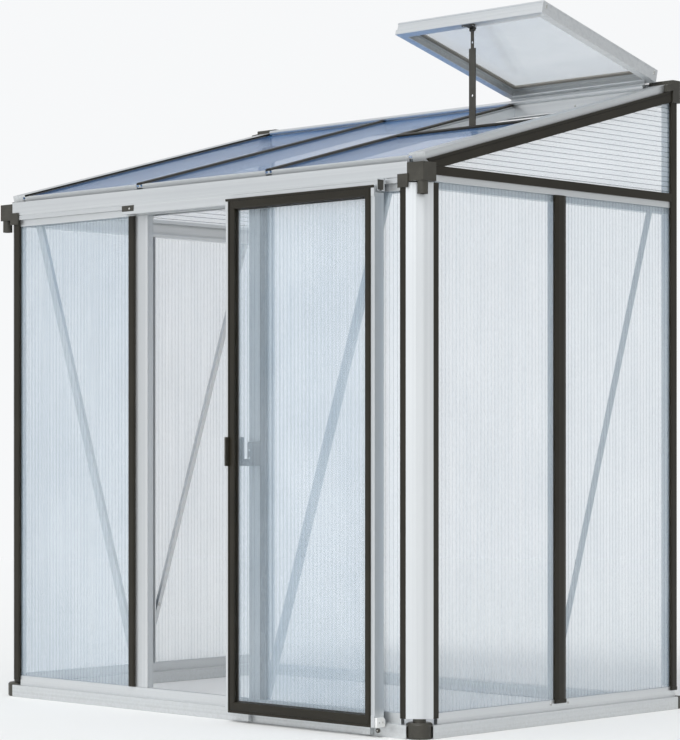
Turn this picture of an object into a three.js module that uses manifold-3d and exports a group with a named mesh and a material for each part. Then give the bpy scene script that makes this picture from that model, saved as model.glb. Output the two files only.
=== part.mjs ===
// Lean-to greenhouse of slotted aluminium bars, twin-wall sheets, a sliding door and a roof vent.
// Millimetres, +Z up, the wall behind it at +Y, the doorway facing -Y.
import * as THREE from 'three';
import { mergeVertices } from 'three/addons/utils/BufferGeometryUtils.js';
import Module from 'manifold-3d';

const wasm = await Module();
wasm.setup();

// Overall size, over the dark strips, and the clearances that every seat shares
const width = 1940;
const depth = 1262;
const fit = 0.3;
const overrun = 20;
const wallThick = 3;
const roundSides = 24;

// Sheets, and the strips and slots that hold them
const panelThick = 6;
const stripWidth = 26;
const stripThick = 12;
const stripEdge = 3;
const slotDeep = 12;
const innerLip = 12;
const webThick = 8;
const flutePitch = 16;
const skinThick = 0.7;
const ribThick = 0.8;
const capFlatShare = 0.45;

// Base rails
const baseDepth = 50;
const baseStep = 40;
const baseHeight = 73;
const baseProud = 4;
const sillLip = 4;
const sillGroove = 13;
const baseFlange = 12;
const baseEndThick = 12;
const baseEndHeight = 42;

// Round corner feet
const footRadius = 39.5;
const footHeight = 47;
const footChamfer = 5;
const footNeckRadius = 19.5;
const footNeckTop = 58;
const footSpigotWidth = 28;
const footSpigotHeight = 25;
const footInset = 40;

// Corner posts: a diagonal face of three facets between the front and the side
const cornerCut = 57.5;
const cornerBulge = 5;
const cornerFacet = 22;
const cornerDepth = 31;
const cornerHollow = 52;
const cornerSkin = 4;

// Front bays and doorway
const bays = 3;
const endAllowance = 125;
const doorwayInset = 64.5;
const jambFace = 57;
const jambDepth = 38;
const jambLip = 10;
const jambWeb = 9;

// Side walls
const sideBarCap = 52;
const sideBarBody = 24;
const sideBarDepth = 46;
const sideBarChannel = 12;
const rearBay = 611;
const wallPostDepth = 40;
const wallPostWidth = 40;
const wallPostStrip = 29;

// Side rails between the walls and the gables
const railCapRise = 45;
const railCapHeight = 27;
const railSlot = 9;
const railSkirt = 19;
const railSkirtThick = 4;
const railBodyRise = 6;
const railDepth = 48;
const railLip = 12;

// Header over the doorway, and the gutter in front of it
const headerLow = 1611;
const headerHeight = 22;
const headerSlot = 13;
const headerLip = 4;
const headerBack = 71;
const headerUpright = 17.7;
const gutterFront = 2;
const gutterDepth = 55;
const gutterHeight = 61;
const gutterWall = 2.5;
const gutterRim = 5;
const gutterGroove = 1.8;
const gutterGroovePlace = 15;
const outletReach = 13;
const outletWidth = 64;
const outletDepth = 58;
const outletRaise = 2;
const outletBelowRim = 4;
const outletEarReach = 35;
const outletEarLap = 6;
const outletEarThick = 4;
const outletEarDrop = 17;
const outletEarRise = 23;
const spoutRadius = 16;
const spoutBore = 11;
const spoutDrop = 39;
const spoutInset = 17.5;

// Roof plane: the top faces of the roof bars run through this front edge
const pitchDegrees = 15.03;
const eaveOverhang = 32;
const eaveRise = 28.1;
const roofCapWidth = 27;
const roofCapThick = 8;
const roofBarBody = 24;
const roofBarDepth = 46;
const roofBarChannel = 12;
const rafterFace = 64;
const rakeTop = 21.5;
const rakeLow = 57;
const rakeSlot = 17;
const rakeRim = 8;
const rakeGroove = 2.5;
const rakeGrooveDeep = 2;
const rafterDepth = 49;
const rafterChannel = 18;
const gableTip = 86;

// Ridge rail with the curl that carries the vent
const ridgeRise = 1.6;
const ridgeDepth = 57;
const ridgeHeight = 64;
const ridgeSlope = 7;
const ridgeLip = 14;
const hingeProud = 7;
const hingeDrop = 15.6;
const beadRadius = 5;
const curlClearance = 0.5;
const curlOpenDegrees = 40;
const curlCloseDegrees = 135;
const ridgeCapWidth = 100;
const ridgeCapProud = 5;
const ridgeCapHeight = 74;
const ridgeCapDepth = 39;
const ridgeCapNose = 30;
const ridgeCapNoseThick = 2;
const ridgeCapWall = 4;

// Cross bar under the front of the vent
const sillDepth = 30;
const sillLap = 16.3;
const sillChannel = 10;
const pegRadius = 3;
const pegDrop = 17.1459;

// Diagonal braces
const braceWidth = 28;
const braceThick = 2.5;
const braceLeg = 12;
const frontBraceTopInset = 73.5;
const frontBraceTopRise = 12;
const frontBraceFootInset = 63;
const frontBraceFootRise = 22;
const sideBraceTopInset = 141;
const sideBraceTopDrop = 20;
const sideBraceFootInset = 34;
const sideBraceFootRise = 182;

// Door track
const trackInset = 8;
const trackDepth = 33;
const trackRise = 1;
const trackHeight = 36;
const trackSlot = 9.5;
const trackPlugInset = 3;
const trackPlugThick = 6;
const trackGroove = 1;
const trackGrooveDrop = 8;

// Sliding door, drawn about its own middle and slid open by doorOpen
const doorSetIn = 56.5;
const doorOverlap = 31;
const doorLow = 30;
const doorLap = 16;
const doorFront = 49;
const doorDepth = 43;
const doorEdge = 12;
const doorEdgeSet = 3;
const stileFace = 27;
const topRailFace = 33;
const bottomRailFace = 34;
const topRailLip = 8;
const doorCapThick = 18;
const doorCapRimShare = 0.2;
const doorCapGrooveShare = 0.1;
const doorCapBevelShare = 0.12;
const doorCapGroove = 1.8;
const doorCapBevel = 3;
const doorLip = 5;
const doorWeb = 24;
const doorFoldBack = 12.6;
const doorBezel = 22;
const doorBezelThick = 8;
const guideWidth = 30;
const guideInset = 5;
const guideDrop = 26;
const guideDepth = 14;
const guideProud = 1.3;

// Door handle: a grip that wraps round the left stile to a plate behind it
const handleLow = 767;
const handleHeight = 90;
const handleProud = 12;
const handleReach = 2.7;
const handleFinPlace = 9;
const handleFinThick = 6;
const handleBack = 2.4;
const handleArm = 22;
const handleArmReach = 15;
const handlePlate = 60;
const handlePlateDrop = 15;
const handleHoleRadius = 4;
const handleHoleSpacing = 24;

// Hangers and rollers
const hangerInset = 78;
const hangerWidth = 40;
const hangerThick = 3;
const hangerFlange = 20;
const hangerRise = 24;
const rollerRadius = 12;
const rollerWidth = 9.8;
const axleRadius = 3;
const axleClearance = 0.5;

// Roof vent, drawn lying back from its hinge and tipped open by ventOpenDegrees
const ventInnerLap = 1.5;
const ventOuterInset = 52;
const ventLength = 607;
const ventRear = 3;
const ventHeight = 42;
const ventLift = 12;
const ventOpenDegrees = 14.9;
const ventRim = 24;
const ventFoot = 27;
const ventPaneThick = 4;
const ventPaneDrop = 4;
const ventWeb = 8;
const neckThick = 3;

// Bracket and stay below the vent's front bar
const bracketWidth = 52;
const bracketArm = 18;
const bracketThick = 3;
const earThick = 3;
const earRadius = 5;
const pinRadius = 2;
const pinClearance = 0.5;
const pinSetBack = 27.9;
const pinDrop = 8;
const knuckleRadius = 4.2;
const linkWidth = 12;
const stayWidth = 27;
const stayThick = 3;
const stayTail = 9.8;
const stayShoulder = 59;
const stayHoleRadius = 4;
const stayHoleHigh = 40;
const stayHoleMiddle = 210;

const slotWide = panelThick + 2 * fit;
const frontPlane = -depth / 2;
const wallPlane = depth / 2;
const sidePlane = width / 2;
const baySpacing = (width - endAllowance) / bays;
const doorwayHalf = baySpacing / 2 - doorwayInset;
const sideBarPlace = wallPlane - rearBay;
const baseFront = frontPlane - baseProud;
const baseSide = sidePlane + baseProud;
const slotNear = stripThick;
const slotFar = stripThick + slotWide;
const innerFace = slotFar + wallThick;
const panelBottom = baseHeight - sillGroove + fit;
const pitch = THREE.MathUtils.degToRad(pitchDegrees);
const slope = Math.tan(pitch);
const eaveFront = frontPlane + eaveOverhang;
const ventOpen = THREE.MathUtils.degToRad(ventOpenDegrees);

const gutterLow = headerLow + headerHeight;
const gutterHigh = gutterLow + gutterHeight;
const outletLow = gutterLow + outletRaise;
const outletHigh = gutterHigh - outletBelowRim;
const cornerTop = gutterLow - fit;
const railCapLow = headerLow + railCapRise;
const railCapHigh = railCapLow + railCapHeight;
const railBodyLow = headerLow + railBodyRise;
const railBodyHigh = railCapHigh - wallThick;
const headerDrop = roofCapThick + slotWide + wallThick;
const trackLow = headerLow + trackRise;
const trackHigh = trackLow + trackHeight;
const eaveTop = gutterHigh + eaveRise;
const ridgeTop = eaveTop + slope * (wallPlane - eaveFront) + ridgeRise;
const ridgeLow = ridgeTop - ridgeHeight;
const ridgeFront = wallPlane - ridgeDepth;
const ridgeCapLow = ridgeTop - ridgeCapHeight;
const wallPostTop = ridgeCapLow - fit;
const hingePlace = ridgeFront - hingeProud;
const hingeHeight = ridgeTop - hingeDrop;

const postEdge = sidePlane - cornerCut - stripWidth;
const postEdgeY = frontPlane + cornerCut + stripWidth;
const doorWidth = baySpacing + doorOverlap;
const doorHalf = doorWidth / 2;
const doorHigh = trackLow + doorLap;
const doorOpen = postEdge - doorSetIn - doorHalf;
const trackLeft = trackInset - doorHalf;
const trackRight = doorOpen + doorHalf;
const hangerPlace = doorHalf - hangerInset;
const hangerHigh = trackLow + hangerRise;
const ventLeft = baySpacing / 2 + ventInnerLap;
const ventRight = sidePlane - ventOuterInset;
const ventPlace = (ventLeft + ventRight) / 2;
const ventHalf = (ventRight - ventLeft) / 2;
const ventFront = ventRear - ventLength;
const sillRear = hingePlace + ventFront * Math.cos(pitch) + sillLap;

const silver = { color: 0xd3d8da, roughness: 0.35, metalness: 0.9 };
const bronze = { color: 0x302a25, roughness: 0.5, metalness: 0.3 };
const blackPlastic = { color: 0x2b2825, roughness: 0.55, metalness: 0 };
const whitePlastic = { color: 0xe9ecec, roughness: 0.5, metalness: 0 };
const twinWall = { color: 0xdfe9ee, roughness: 0.25, metalness: 0, transparent: true, opacity: 0.5 };
const clearSheet = { color: 0xc4d6e6, roughness: 0.1, metalness: 0, transparent: true, opacity: 0.4 };

const greenhouse = new THREE.Group();
const roof = new THREE.Group();
roof.position.set(0, eaveFront, eaveTop);
roof.rotation.x = pitch;
roof.updateMatrix();
const toRoof = roof.matrix.clone().invert();
const door = new THREE.Group();
door.position.x = doorOpen;
const vent = new THREE.Group();
vent.position.set(ventPlace, hingePlace, hingeHeight);
vent.rotation.x = -ventOpen;
const stay = new THREE.Group();
greenhouse.add(roof, door, vent);
vent.add(stay);

// Height of the roof bars' top face, and the same dropped squarely below it, at a place along Y
const roofTop = (y) => eaveTop + slope * (y - eaveFront);
const underRoof = (y, drop) => roofTop(y) - drop / Math.cos(pitch);

function extrude(points, low, high) {
  const shape = new THREE.Shape(points.map(([a, b]) => new THREE.Vector2(a, b)));
  const geometry = new THREE.ExtrudeGeometry(shape, { depth: high - low, bevelEnabled: false, steps: 1 });
  return geometry.translate(0, 0, low);
}

// Outline in X and Y, drawn up along Z
function alongZ(points, low, high) {
  return extrude(points, low, high);
}

// Outline in Y and Z, drawn along X
function alongX(points, low, high) {
  const turn = new THREE.Matrix4().set(0, 0, 1, 0, 1, 0, 0, 0, 0, 1, 0, 0, 0, 0, 0, 1);
  return extrude(points, low, high).applyMatrix4(turn);
}

// Outline in X and Z, drawn along Y
function alongY(points, low, high) {
  return extrude(points, -high, -low).rotateX(Math.PI / 2);
}

function rectangle(aLow, aHigh, bLow, bHigh) {
  return [[aLow, bLow], [aHigh, bLow], [aHigh, bHigh], [aLow, bHigh]];
}

function circle(radius, a, b, sides = roundSides) {
  const points = [];
  for (let i = 0; i < sides; i += 1) {
    const angle = (i + 0.5) * 2 * Math.PI / sides;
    points.push([a + radius * Math.cos(angle), b + radius * Math.sin(angle)]);
  }
  return points;
}

function block(xLow, xHigh, yLow, yHigh, zLow, zHigh) {
  return alongZ(rectangle(xLow, xHigh, yLow, yHigh), zLow, zHigh);
}

function solid(part) {
  if (!part.isBufferGeometry) return part;
  part.deleteAttribute('normal');
  part.deleteAttribute('uv');
  const merged = mergeVertices(part);
  const vertProperties = merged.attributes.position.array;
  const triVerts = new Uint32Array(merged.index.array);
  return new wasm.Manifold(new wasm.Mesh({ numProp: 3, vertProperties, triVerts }));
}

function join(first, ...others) {
  return others.reduce((whole, part) => whole.add(solid(part)), solid(first));
}

function cut(whole, ...tools) {
  return tools.reduce((left, tool) => left.subtract(solid(tool)), solid(whole));
}

function keep(whole, space) {
  return solid(whole).intersect(solid(space));
}

function place(name, part, finish, group = greenhouse) {
  const { vertProperties, triVerts } = solid(part).getMesh();
  const geometry = new THREE.BufferGeometry();
  geometry.setAttribute('position', new THREE.BufferAttribute(vertProperties, 3));
  geometry.setIndex(new THREE.BufferAttribute(triVerts, 1));
  geometry.computeVertexNormals();
  const mesh = new THREE.Mesh(geometry, new THREE.MeshStandardMaterial(finish));
  mesh.name = name;
  group.add(mesh);
}

const mirror = (points, side) => points.map(([a, b]) => [side * a, b]);
const sides = [['left', -1], ['right', 1]];

function sideBlock(side, near, far, yLow, yHigh, zLow, zHigh) {
  const [xLow, xHigh] = side < 0 ? [-far, -near] : [near, far];
  return block(xLow, xHigh, yLow, yHigh, zLow, zHigh);
}

function sideAlongX(side, points, near, far) {
  return side < 0 ? alongX(points, -far, -near) : alongX(points, near, far);
}

// Glazing bar in across and depth: a cap, a web between two panel slots, a channel open inwards
function barOutline(capWidth, capThick, bodyWidth, totalDepth, channel) {
  const cap = capWidth / 2;
  const flat = cap * capFlatShare;
  const body = bodyWidth / 2;
  const web = webThick / 2;
  const gap = channel / 2;
  const seat = capThick + slotWide;
  return [
    [-flat, 0], [flat, 0], [cap, stripEdge], [cap, capThick], [web, capThick], [web, seat], [body, seat],
    [body, totalDepth], [gap, totalDepth], [gap, totalDepth - wallThick],
    [body - wallThick, totalDepth - wallThick], [body - wallThick, seat + wallThick],
    [wallThick - body, seat + wallThick], [wallThick - body, totalDepth - wallThick],
    [-gap, totalDepth - wallThick], [-gap, totalDepth], [-body, totalDepth], [-body, seat],
    [-web, seat], [-web, capThick], [-cap, capThick], [-cap, stripEdge],
  ];
}

// Base rail in depth and height, with a groove on its sill for the panels
function baseOutline(withSill) {
  const lipNear = stripThick + baseProud - sillLip;
  const groove = lipNear + sillLip;
  const grooveFar = groove + slotWide;
  const inside = grooveFar + sillLip;
  const flange = baseFlange;
  const sill = [
    [lipNear, baseStep], [lipNear, baseHeight], [groove, baseHeight],
    [groove, baseHeight - sillGroove], [grooveFar, baseHeight - sillGroove], [grooveFar, baseHeight],
    [inside, baseHeight], [inside, baseStep],
  ];
  return [
    [0, 0], [0, baseStep], ...(withSill ? sill : []), [baseDepth, baseStep], [baseDepth, 0],
    [baseDepth - flange, 0], [baseDepth - flange, wallThick], [baseDepth - wallThick, wallThick],
    [baseDepth - wallThick, baseStep - wallThick], [wallThick, baseStep - wallThick],
    [wallThick, wallThick], [flange, wallThick], [flange, 0],
  ];
}

const footX = sidePlane - footInset;
const footY = frontPlane + footInset;

function footSpace(side, grow) {
  return alongZ(circle(footRadius + grow, side * footX, footY), -overrun, footNeckTop);
}

function buildBase() {
  const outline = baseOutline(true);
  const frontEnd = baseSide - cornerCut;
  const frontRail = alongX(outline.map(([d, z]) => [baseFront + d, z]), -frontEnd, frontEnd);
  const postSeats = sides.map(([, side]) => (
    sideBlock(side, postEdge - fit, sidePlane, baseFront - overrun, 0, baseStep, baseHeight + overrun)));
  const footNotches = sides.map(([, side]) => footSpace(side, fit));
  place('base_front', cut(frontRail, ...postSeats, ...footNotches), silver);
  const rearInside = baseSide - baseDepth - fit;
  const rearOutline = baseOutline(false).map(([d, z]) => [wallPlane - d, z]);
  place('base_rear', alongX(rearOutline, -rearInside, rearInside), silver);
  for (const [name, side] of sides) {
    const rail = alongY(mirror(outline.map(([d, z]) => [baseSide - d, z]), side),
      baseFront + cornerCut, wallPlane - baseEndThick - fit);
    const seat = block(-baseSide - overrun, baseSide + overrun, baseFront, postEdgeY + fit,
      baseStep, baseHeight + overrun);
    place(`base_${name}`, cut(rail, seat, footSpace(side, fit)), silver);
    place(`base_end_${name}`, buildBaseEnd(side), blackPlastic);
    place(`foot_front_${name}`, buildFoot(side), blackPlastic);
  }
}

// End block against the wall, with a plug that fills the rail's channel
function buildBaseEnd(side) {
  const plateFront = wallPlane - baseEndThick;
  const plate = sideBlock(side, baseSide - baseDepth, baseSide, plateFront, wallPlane, 0, baseEndHeight);
  const plug = sideBlock(side, baseSide - baseDepth + wallThick + fit, baseSide - wallThick - fit,
    plateFront - baseFlange, plateFront + fit, wallThick + fit, baseStep - wallThick - fit);
  return join(plate, plug);
}

// Round foot whose neck carries the corner post, with a spigot inside the post
function buildFoot(side) {
  const profile = [
    [0, 0], [footRadius - wallThick, 0], [footRadius, wallThick], [footRadius, footHeight - footChamfer],
    [footRadius - footChamfer, footHeight], [footNeckRadius, footHeight], [footNeckRadius, footNeckTop],
    [0, footNeckTop],
  ];
  const turned = new THREE.LatheGeometry(profile.map(([r, z]) => new THREE.Vector2(r, z)), roundSides);
  turned.rotateX(Math.PI / 2).rotateZ(Math.PI / roundSides).translate(side * footX, footY, 0);
  const along = footSpigotWidth / 2;
  const near = cornerSkin + fit;
  const far = cornerDepth - wallThick - fit;
  const spigot = alongZ(mirror(diagonal([[-along, near], [along, near], [along, far], [-along, far]]), side),
    footHeight, footNeckTop + footSpigotHeight);
  return join(turned, spigot);
}

// Points given along and behind the corner's diagonal, for the right-hand corner
function diagonal(points) {
  const middleX = sidePlane - cornerCut / 2;
  const middleY = frontPlane + cornerCut / 2;
  return points.map(([along, behind]) => (
    [middleX + (along - behind) / Math.SQRT2, middleY + (along + behind) / Math.SQRT2]));
}

function cornerOutline() {
  const x0 = sidePlane - cornerCut;
  const y0 = frontPlane + cornerCut;
  const [bulgeNear, bulgeFar] = diagonal([[-cornerFacet / 2, -cornerBulge], [cornerFacet / 2, -cornerBulge]]);
  const inner = x0 - frontPlane - cornerDepth * Math.SQRT2;
  return [
    [postEdge, frontPlane + stripEdge], [postEdge + stripEdge, frontPlane], [x0, frontPlane],
    bulgeNear, bulgeFar, [sidePlane, y0], [sidePlane, postEdgeY - stripEdge],
    [sidePlane - stripEdge, postEdgeY],
    [sidePlane - slotNear, postEdgeY], [sidePlane - slotNear, postEdgeY - slotDeep],
    [sidePlane - slotFar, postEdgeY - slotDeep], [sidePlane - slotFar, postEdgeY],
    [sidePlane - innerFace, postEdgeY], [sidePlane - innerFace, sidePlane - innerFace - inner],
    [inner + frontPlane + innerFace, frontPlane + innerFace], [postEdge, frontPlane + innerFace],
    [postEdge, frontPlane + slotFar], [postEdge + slotDeep, frontPlane + slotFar],
    [postEdge + slotDeep, frontPlane + slotNear], [postEdge, frontPlane + slotNear],
  ];
}

function buildCornerPost(side) {
  const half = cornerHollow / 2;
  const near = cornerSkin;
  const far = cornerDepth - wallThick;
  const hollow = diagonal([[-half, near], [half, near], [half, far], [-half, far]]);
  const tunnel = alongZ(mirror(hollow, side), footNeckTop - overrun, cornerTop + overrun);
  return cut(alongZ(mirror(cornerOutline(), side), footNeckTop + fit, cornerTop), tunnel);
}

// Jamb: a wide face along the doorway, a channel behind it, and a strip over the panel's edge
function buildJamb(side) {
  const strip = jambFace + stripWidth;
  const back = jambDepth;
  const outline = [
    [jambFace, stripEdge], [jambFace + stripEdge, 0], [strip - stripEdge, 0], [strip, stripEdge],
    [strip, slotNear], [jambFace + jambWeb, slotNear],
    [jambFace + jambWeb, slotFar], [strip, slotFar], [strip, innerFace],
    [jambFace + wallThick, innerFace], [jambFace + wallThick, back], [jambFace - jambLip, back],
    [jambFace - jambLip, back - wallThick], [jambFace, back - wallThick], [jambFace, slotNear + wallThick],
    [wallThick, slotNear + wallThick], [wallThick, back - wallThick], [jambLip, back - wallThick],
    [jambLip, back], [0, back], [0, slotNear], [jambFace, slotNear],
  ].map(([u, d]) => [doorwayHalf + u, frontPlane + d]);
  return alongZ(mirror(outline, side), baseHeight + fit, headerLow - fit);
}

function buildSideBar(side) {
  const outline = barOutline(sideBarCap, stripThick, sideBarBody, sideBarDepth, sideBarChannel);
  const points = outline.map(([u, d]) => [side * (sidePlane - d), sideBarPlace + u]);
  const railRoom = sideBlock(side, 0, sidePlane - slotFar + fit, -depth, depth, railBodyLow - fit, railCapLow);
  return cut(alongZ(points, baseHeight + fit, railCapLow - railSkirt - fit), railRoom);
}

// Wall post: its flat back lies against the wall, and its slot takes the side and gable panels
function buildWallPost(side) {
  const back = stripThick + wallPostWidth;
  const lipAcross = innerLip + slotDeep;
  const outline = [
    [0, stripEdge], [stripEdge, 0], [wallPostStrip - stripEdge, 0], [wallPostStrip, stripEdge],
    [wallPostStrip, stripThick], [wallPostDepth, stripThick], [wallPostDepth, back],
    [wallPostDepth - innerLip + wallThick, back], [wallPostDepth - innerLip + wallThick, back - wallThick],
    [wallPostDepth - wallThick, back - wallThick], [wallPostDepth - wallThick, stripThick + wallThick],
    [slotDeep + wallThick, stripThick + wallThick], [slotDeep + wallThick, back - wallThick],
    [lipAcross - wallThick, back - wallThick], [lipAcross - wallThick, back], [slotDeep, back],
    [slotDeep, innerFace], [0, innerFace], [0, slotFar], [slotDeep, slotFar], [slotDeep, slotNear],
    [0, slotNear],
  ];
  const points = outline.map(([e, d]) => [side * (sidePlane - d), wallPlane - wallPostDepth + e]);
  return alongZ(points, baseHeight + fit, wallPostTop);
}

// Side rail: slots for the wall panels below and the gable panel above, a channel open inwards
function buildSideRail(side) {
  const slotTop = railCapHigh - railSlot;
  const slotLow = railCapLow + railSlot;
  const outline = [
    [0, railCapLow], [0, railCapHigh], [slotNear, railCapHigh], [slotNear, slotTop], [slotFar, slotTop],
    [slotFar, railBodyHigh], [railDepth, railBodyHigh], [railDepth, railBodyHigh - railLip],
    [railDepth - wallThick, railBodyHigh - railLip], [railDepth - wallThick, railBodyHigh - wallThick],
    [innerFace, railBodyHigh - wallThick], [innerFace, railBodyLow + wallThick],
    [railDepth - wallThick, railBodyLow + wallThick], [railDepth - wallThick, railBodyLow + railLip],
    [railDepth, railBodyLow + railLip], [railDepth, railBodyLow], [slotFar, railBodyLow], [slotFar, slotLow],
    [slotNear, slotLow], [slotNear, railCapLow - railSkirt],
    [slotNear - railSkirtThick, railCapLow - railSkirt],
    [slotNear - railSkirtThick, railCapLow],
  ].map(([d, z]) => [side * (sidePlane - d), z]);
  const rail = alongY(outline, outletBack + fit, wallPlane - wallPostDepth - fit);
  const postSpace = block(-width, width, frontPlane, postEdgeY + fit, 0, cornerTop + fit);
  return cut(rail, postSpace);
}

const gutterFace = frontPlane - gutterFront;
const gutterBack = gutterFace + gutterDepth;
const outletFront = gutterFace - fit;
const outletBack = outletFront + outletDepth;
const headerEnd = postEdge - fit;
const outletInner = sidePlane + outletReach - outletWidth;
const headerRear = frontPlane + headerBack;

// Header: a slot for the front panels, a channel open downwards, an upright behind the gutter
function buildHeader() {
  const slotFront = frontPlane + slotNear;
  const slotBack = frontPlane + slotFar;
  const inside = frontPlane + innerFace;
  const top = gutterLow - fit;
  const uprightFront = headerRear - headerUpright;
  const uprightTop = (y) => underRoof(y, headerDrop) - fit;
  const points = [
    [slotFront - headerLip, headerLow], [slotFront - headerLip, top], [uprightFront, top],
    [uprightFront, uprightTop(uprightFront)], [headerRear, uprightTop(headerRear)], [headerRear, headerLow],
    [headerRear - innerLip, headerLow], [headerRear - innerLip, headerLow + wallThick],
    [headerRear - wallThick, headerLow + wallThick],
    [headerRear - wallThick, uprightTop(headerRear - wallThick) - wallThick],
    [uprightFront + wallThick, uprightTop(uprightFront + wallThick) - wallThick],
    [uprightFront + wallThick, top - wallThick], [inside, top - wallThick], [inside, headerLow],
    [slotBack, headerLow], [slotBack, headerLow + headerSlot], [slotFront, headerLow + headerSlot],
    [slotFront, headerLow],
  ];
  return alongX(points, -headerEnd, headerEnd);
}

function buildGutter() {
  const groove = gutterLow + gutterGroovePlace;
  const points = [
    [gutterFace, gutterLow], [gutterFace, groove - gutterGroove], [gutterFace + gutterGroove, groove],
    [gutterFace, groove + gutterGroove], [gutterFace, gutterHigh], [gutterFace + gutterRim, gutterHigh],
    [gutterFace + gutterRim, gutterHigh - gutterWall], [gutterFace + gutterWall, gutterHigh - gutterWall],
    [gutterFace + gutterWall, gutterLow + gutterWall], [gutterBack - gutterWall, gutterLow + gutterWall],
    [gutterBack - gutterWall, gutterHigh], [gutterBack, gutterHigh], [gutterBack, gutterLow],
  ];
  return alongX(points, fit - outletInner, outletInner - fit);
}

// End box of the gutter: open towards the trough, a spout down, an ear in front of the gutter's end
function buildOutlet(side) {
  const outer = sidePlane + outletReach;
  const spoutX = outer - spoutInset;
  const spoutY = outletFront + spoutInset;
  const box = sideBlock(side, outletInner, outer, outletFront, outletBack, outletLow, outletHigh);
  const spoutEnd = outletLow - spoutDrop;
  const spout = alongZ(circle(spoutRadius, side * spoutX, spoutY), spoutEnd, outletLow + wallThick);
  const cavity = sideBlock(side, outletInner - overrun, outer - wallThick, outletFront + wallThick,
    outletBack - wallThick, outletLow + wallThick, outletHigh - wallThick);
  const bore = alongZ(circle(spoutBore, side * spoutX, spoutY), spoutEnd - overrun, outletLow + overrun);
  const earFront = outletFront - outletEarThick;
  const earTop = outletLow + outletEarRise;
  const ear = sideBlock(side, outletInner - outletEarReach, outletInner + outletEarLap, earFront, outletFront,
    outletLow - outletEarDrop, earTop);
  const earRoot = sideBlock(side, outletInner, outletInner + outletEarLap, earFront, outletFront + wallThick,
    outletLow, earTop);
  return cut(join(box, spout, ear, earRoot), cavity, bore);
}

// Space of the ridge rail and its caps, grown by the clearance, that roof pieces are cut back from
function ridgeSpace() {
  const curlFront = hingePlace - beadRadius - curlClearance - wallThick - fit;
  const curlLow = hingeHeight - beadRadius - curlClearance - wallThick - fit;
  const web = ridgeFront - fit;
  return alongX([
    [curlFront, ridgeTop + overrun], [curlFront, curlLow], [web, curlLow], [web, ridgeLow - overrun],
    [wallPlane + overrun, ridgeLow - overrun], [wallPlane + overrun, ridgeTop + overrun],
  ], -width, width).applyMatrix4(toRoof);
}

// Space of the header's upright below the roof bars' inner lip
function headerSpace() {
  const rear = headerRear + fit;
  return alongX([
    [eaveFront - overrun, headerLow], [rear, headerLow], [rear, underRoof(rear, headerDrop)],
    [eaveFront - overrun, underRoof(eaveFront - overrun, headerDrop)],
  ], -width, width).applyMatrix4(toRoof);
}

const roofLength = (wallPlane - eaveFront) / Math.cos(pitch);
const ridgeEnd = sidePlane + ridgeCapProud - ridgeCapWidth - fit;

function buildMiddleRafter(side) {
  const outline = barOutline(roofCapWidth, roofCapThick, roofBarBody, roofBarDepth, roofBarChannel);
  const points = outline.map(([u, d]) => [side * baySpacing / 2 + u, -d]);
  return cut(alongY(points, 0, roofLength), ridgeSpace(), headerSpace());
}

// Outer rafter: a broad flat top, the dark rake bar outside, slots for a roof sheet and the gable
// panel, a channel that is closed at the eaves
function buildOuterRafter(side) {
  const inner = sidePlane - slotNear - rafterFace;
  const face = sidePlane - slotNear;
  const slotInner = sidePlane - slotFar;
  const bodyInner = inner + slotDeep;
  const bodyOuter = sidePlane - innerFace;
  const seat = roofCapThick + slotWide;
  const middle = (bodyInner + bodyOuter) / 2;
  const rim = rakeTop + rakeRim;
  const outline = [
    [inner, 0], [face, 0], [face, rakeTop], [sidePlane, rakeTop], [sidePlane, rim],
    [sidePlane - rakeGrooveDeep, rim], [sidePlane - rakeGrooveDeep, rim + rakeGroove],
    [sidePlane, rim + rakeGroove], [sidePlane, rakeLow], [face, rakeLow],
    [face, rakeLow - rakeSlot], [slotInner, rakeLow - rakeSlot], [slotInner, rakeLow], [bodyOuter, rakeLow],
    [bodyOuter, rafterDepth], [middle + rafterChannel / 2, rafterDepth],
    [middle + rafterChannel / 2, rafterDepth - wallThick], [bodyOuter - wallThick, rafterDepth - wallThick],
    [bodyOuter - wallThick, roofCapThick], [bodyInner + wallThick, roofCapThick],
    [bodyInner + wallThick, rafterDepth - wallThick], [middle - rafterChannel / 2, rafterDepth - wallThick],
    [middle - rafterChannel / 2, rafterDepth], [bodyInner, rafterDepth], [bodyInner, seat + wallThick],
    [inner, seat + wallThick], [inner, seat], [bodyInner, seat], [bodyInner, roofCapThick],
    [inner, roofCapThick],
  ].map(([x, d]) => [side * x, -d]);
  const railSpace = alongX([
    [eaveFront - overrun, headerLow], [wallPlane, headerLow], [wallPlane, railCapHigh + fit],
    [outletBack + fit, railCapHigh + fit], [outletBack + fit, outletHigh + fit],
    [eaveFront - overrun, outletHigh + fit],
  ], -width, width).applyMatrix4(toRoof);
  const gutterRoom = alongX(rectangle(eaveFront - overrun, gutterBack + fit, gutterLow, gutterHigh + fit),
    fit - outletInner, outletInner - fit).applyMatrix4(toRoof);
  const capFront = wallPlane - ridgeCapDepth - fit;
  const capSpace = alongX(rectangle(capFront, wallPlane + overrun, headerLow, ridgeTop + overrun),
    -width, width).applyMatrix4(toRoof);
  const closing = alongY(rectangle(bodyInner, bodyOuter, roofCapThick, rafterDepth)
    .map(([x, d]) => [side * x, -d]), 0, wallThick);
  return cut(join(alongY(outline, 0, roofLength), closing), railSpace, gutterRoom, capSpace);
}

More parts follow.
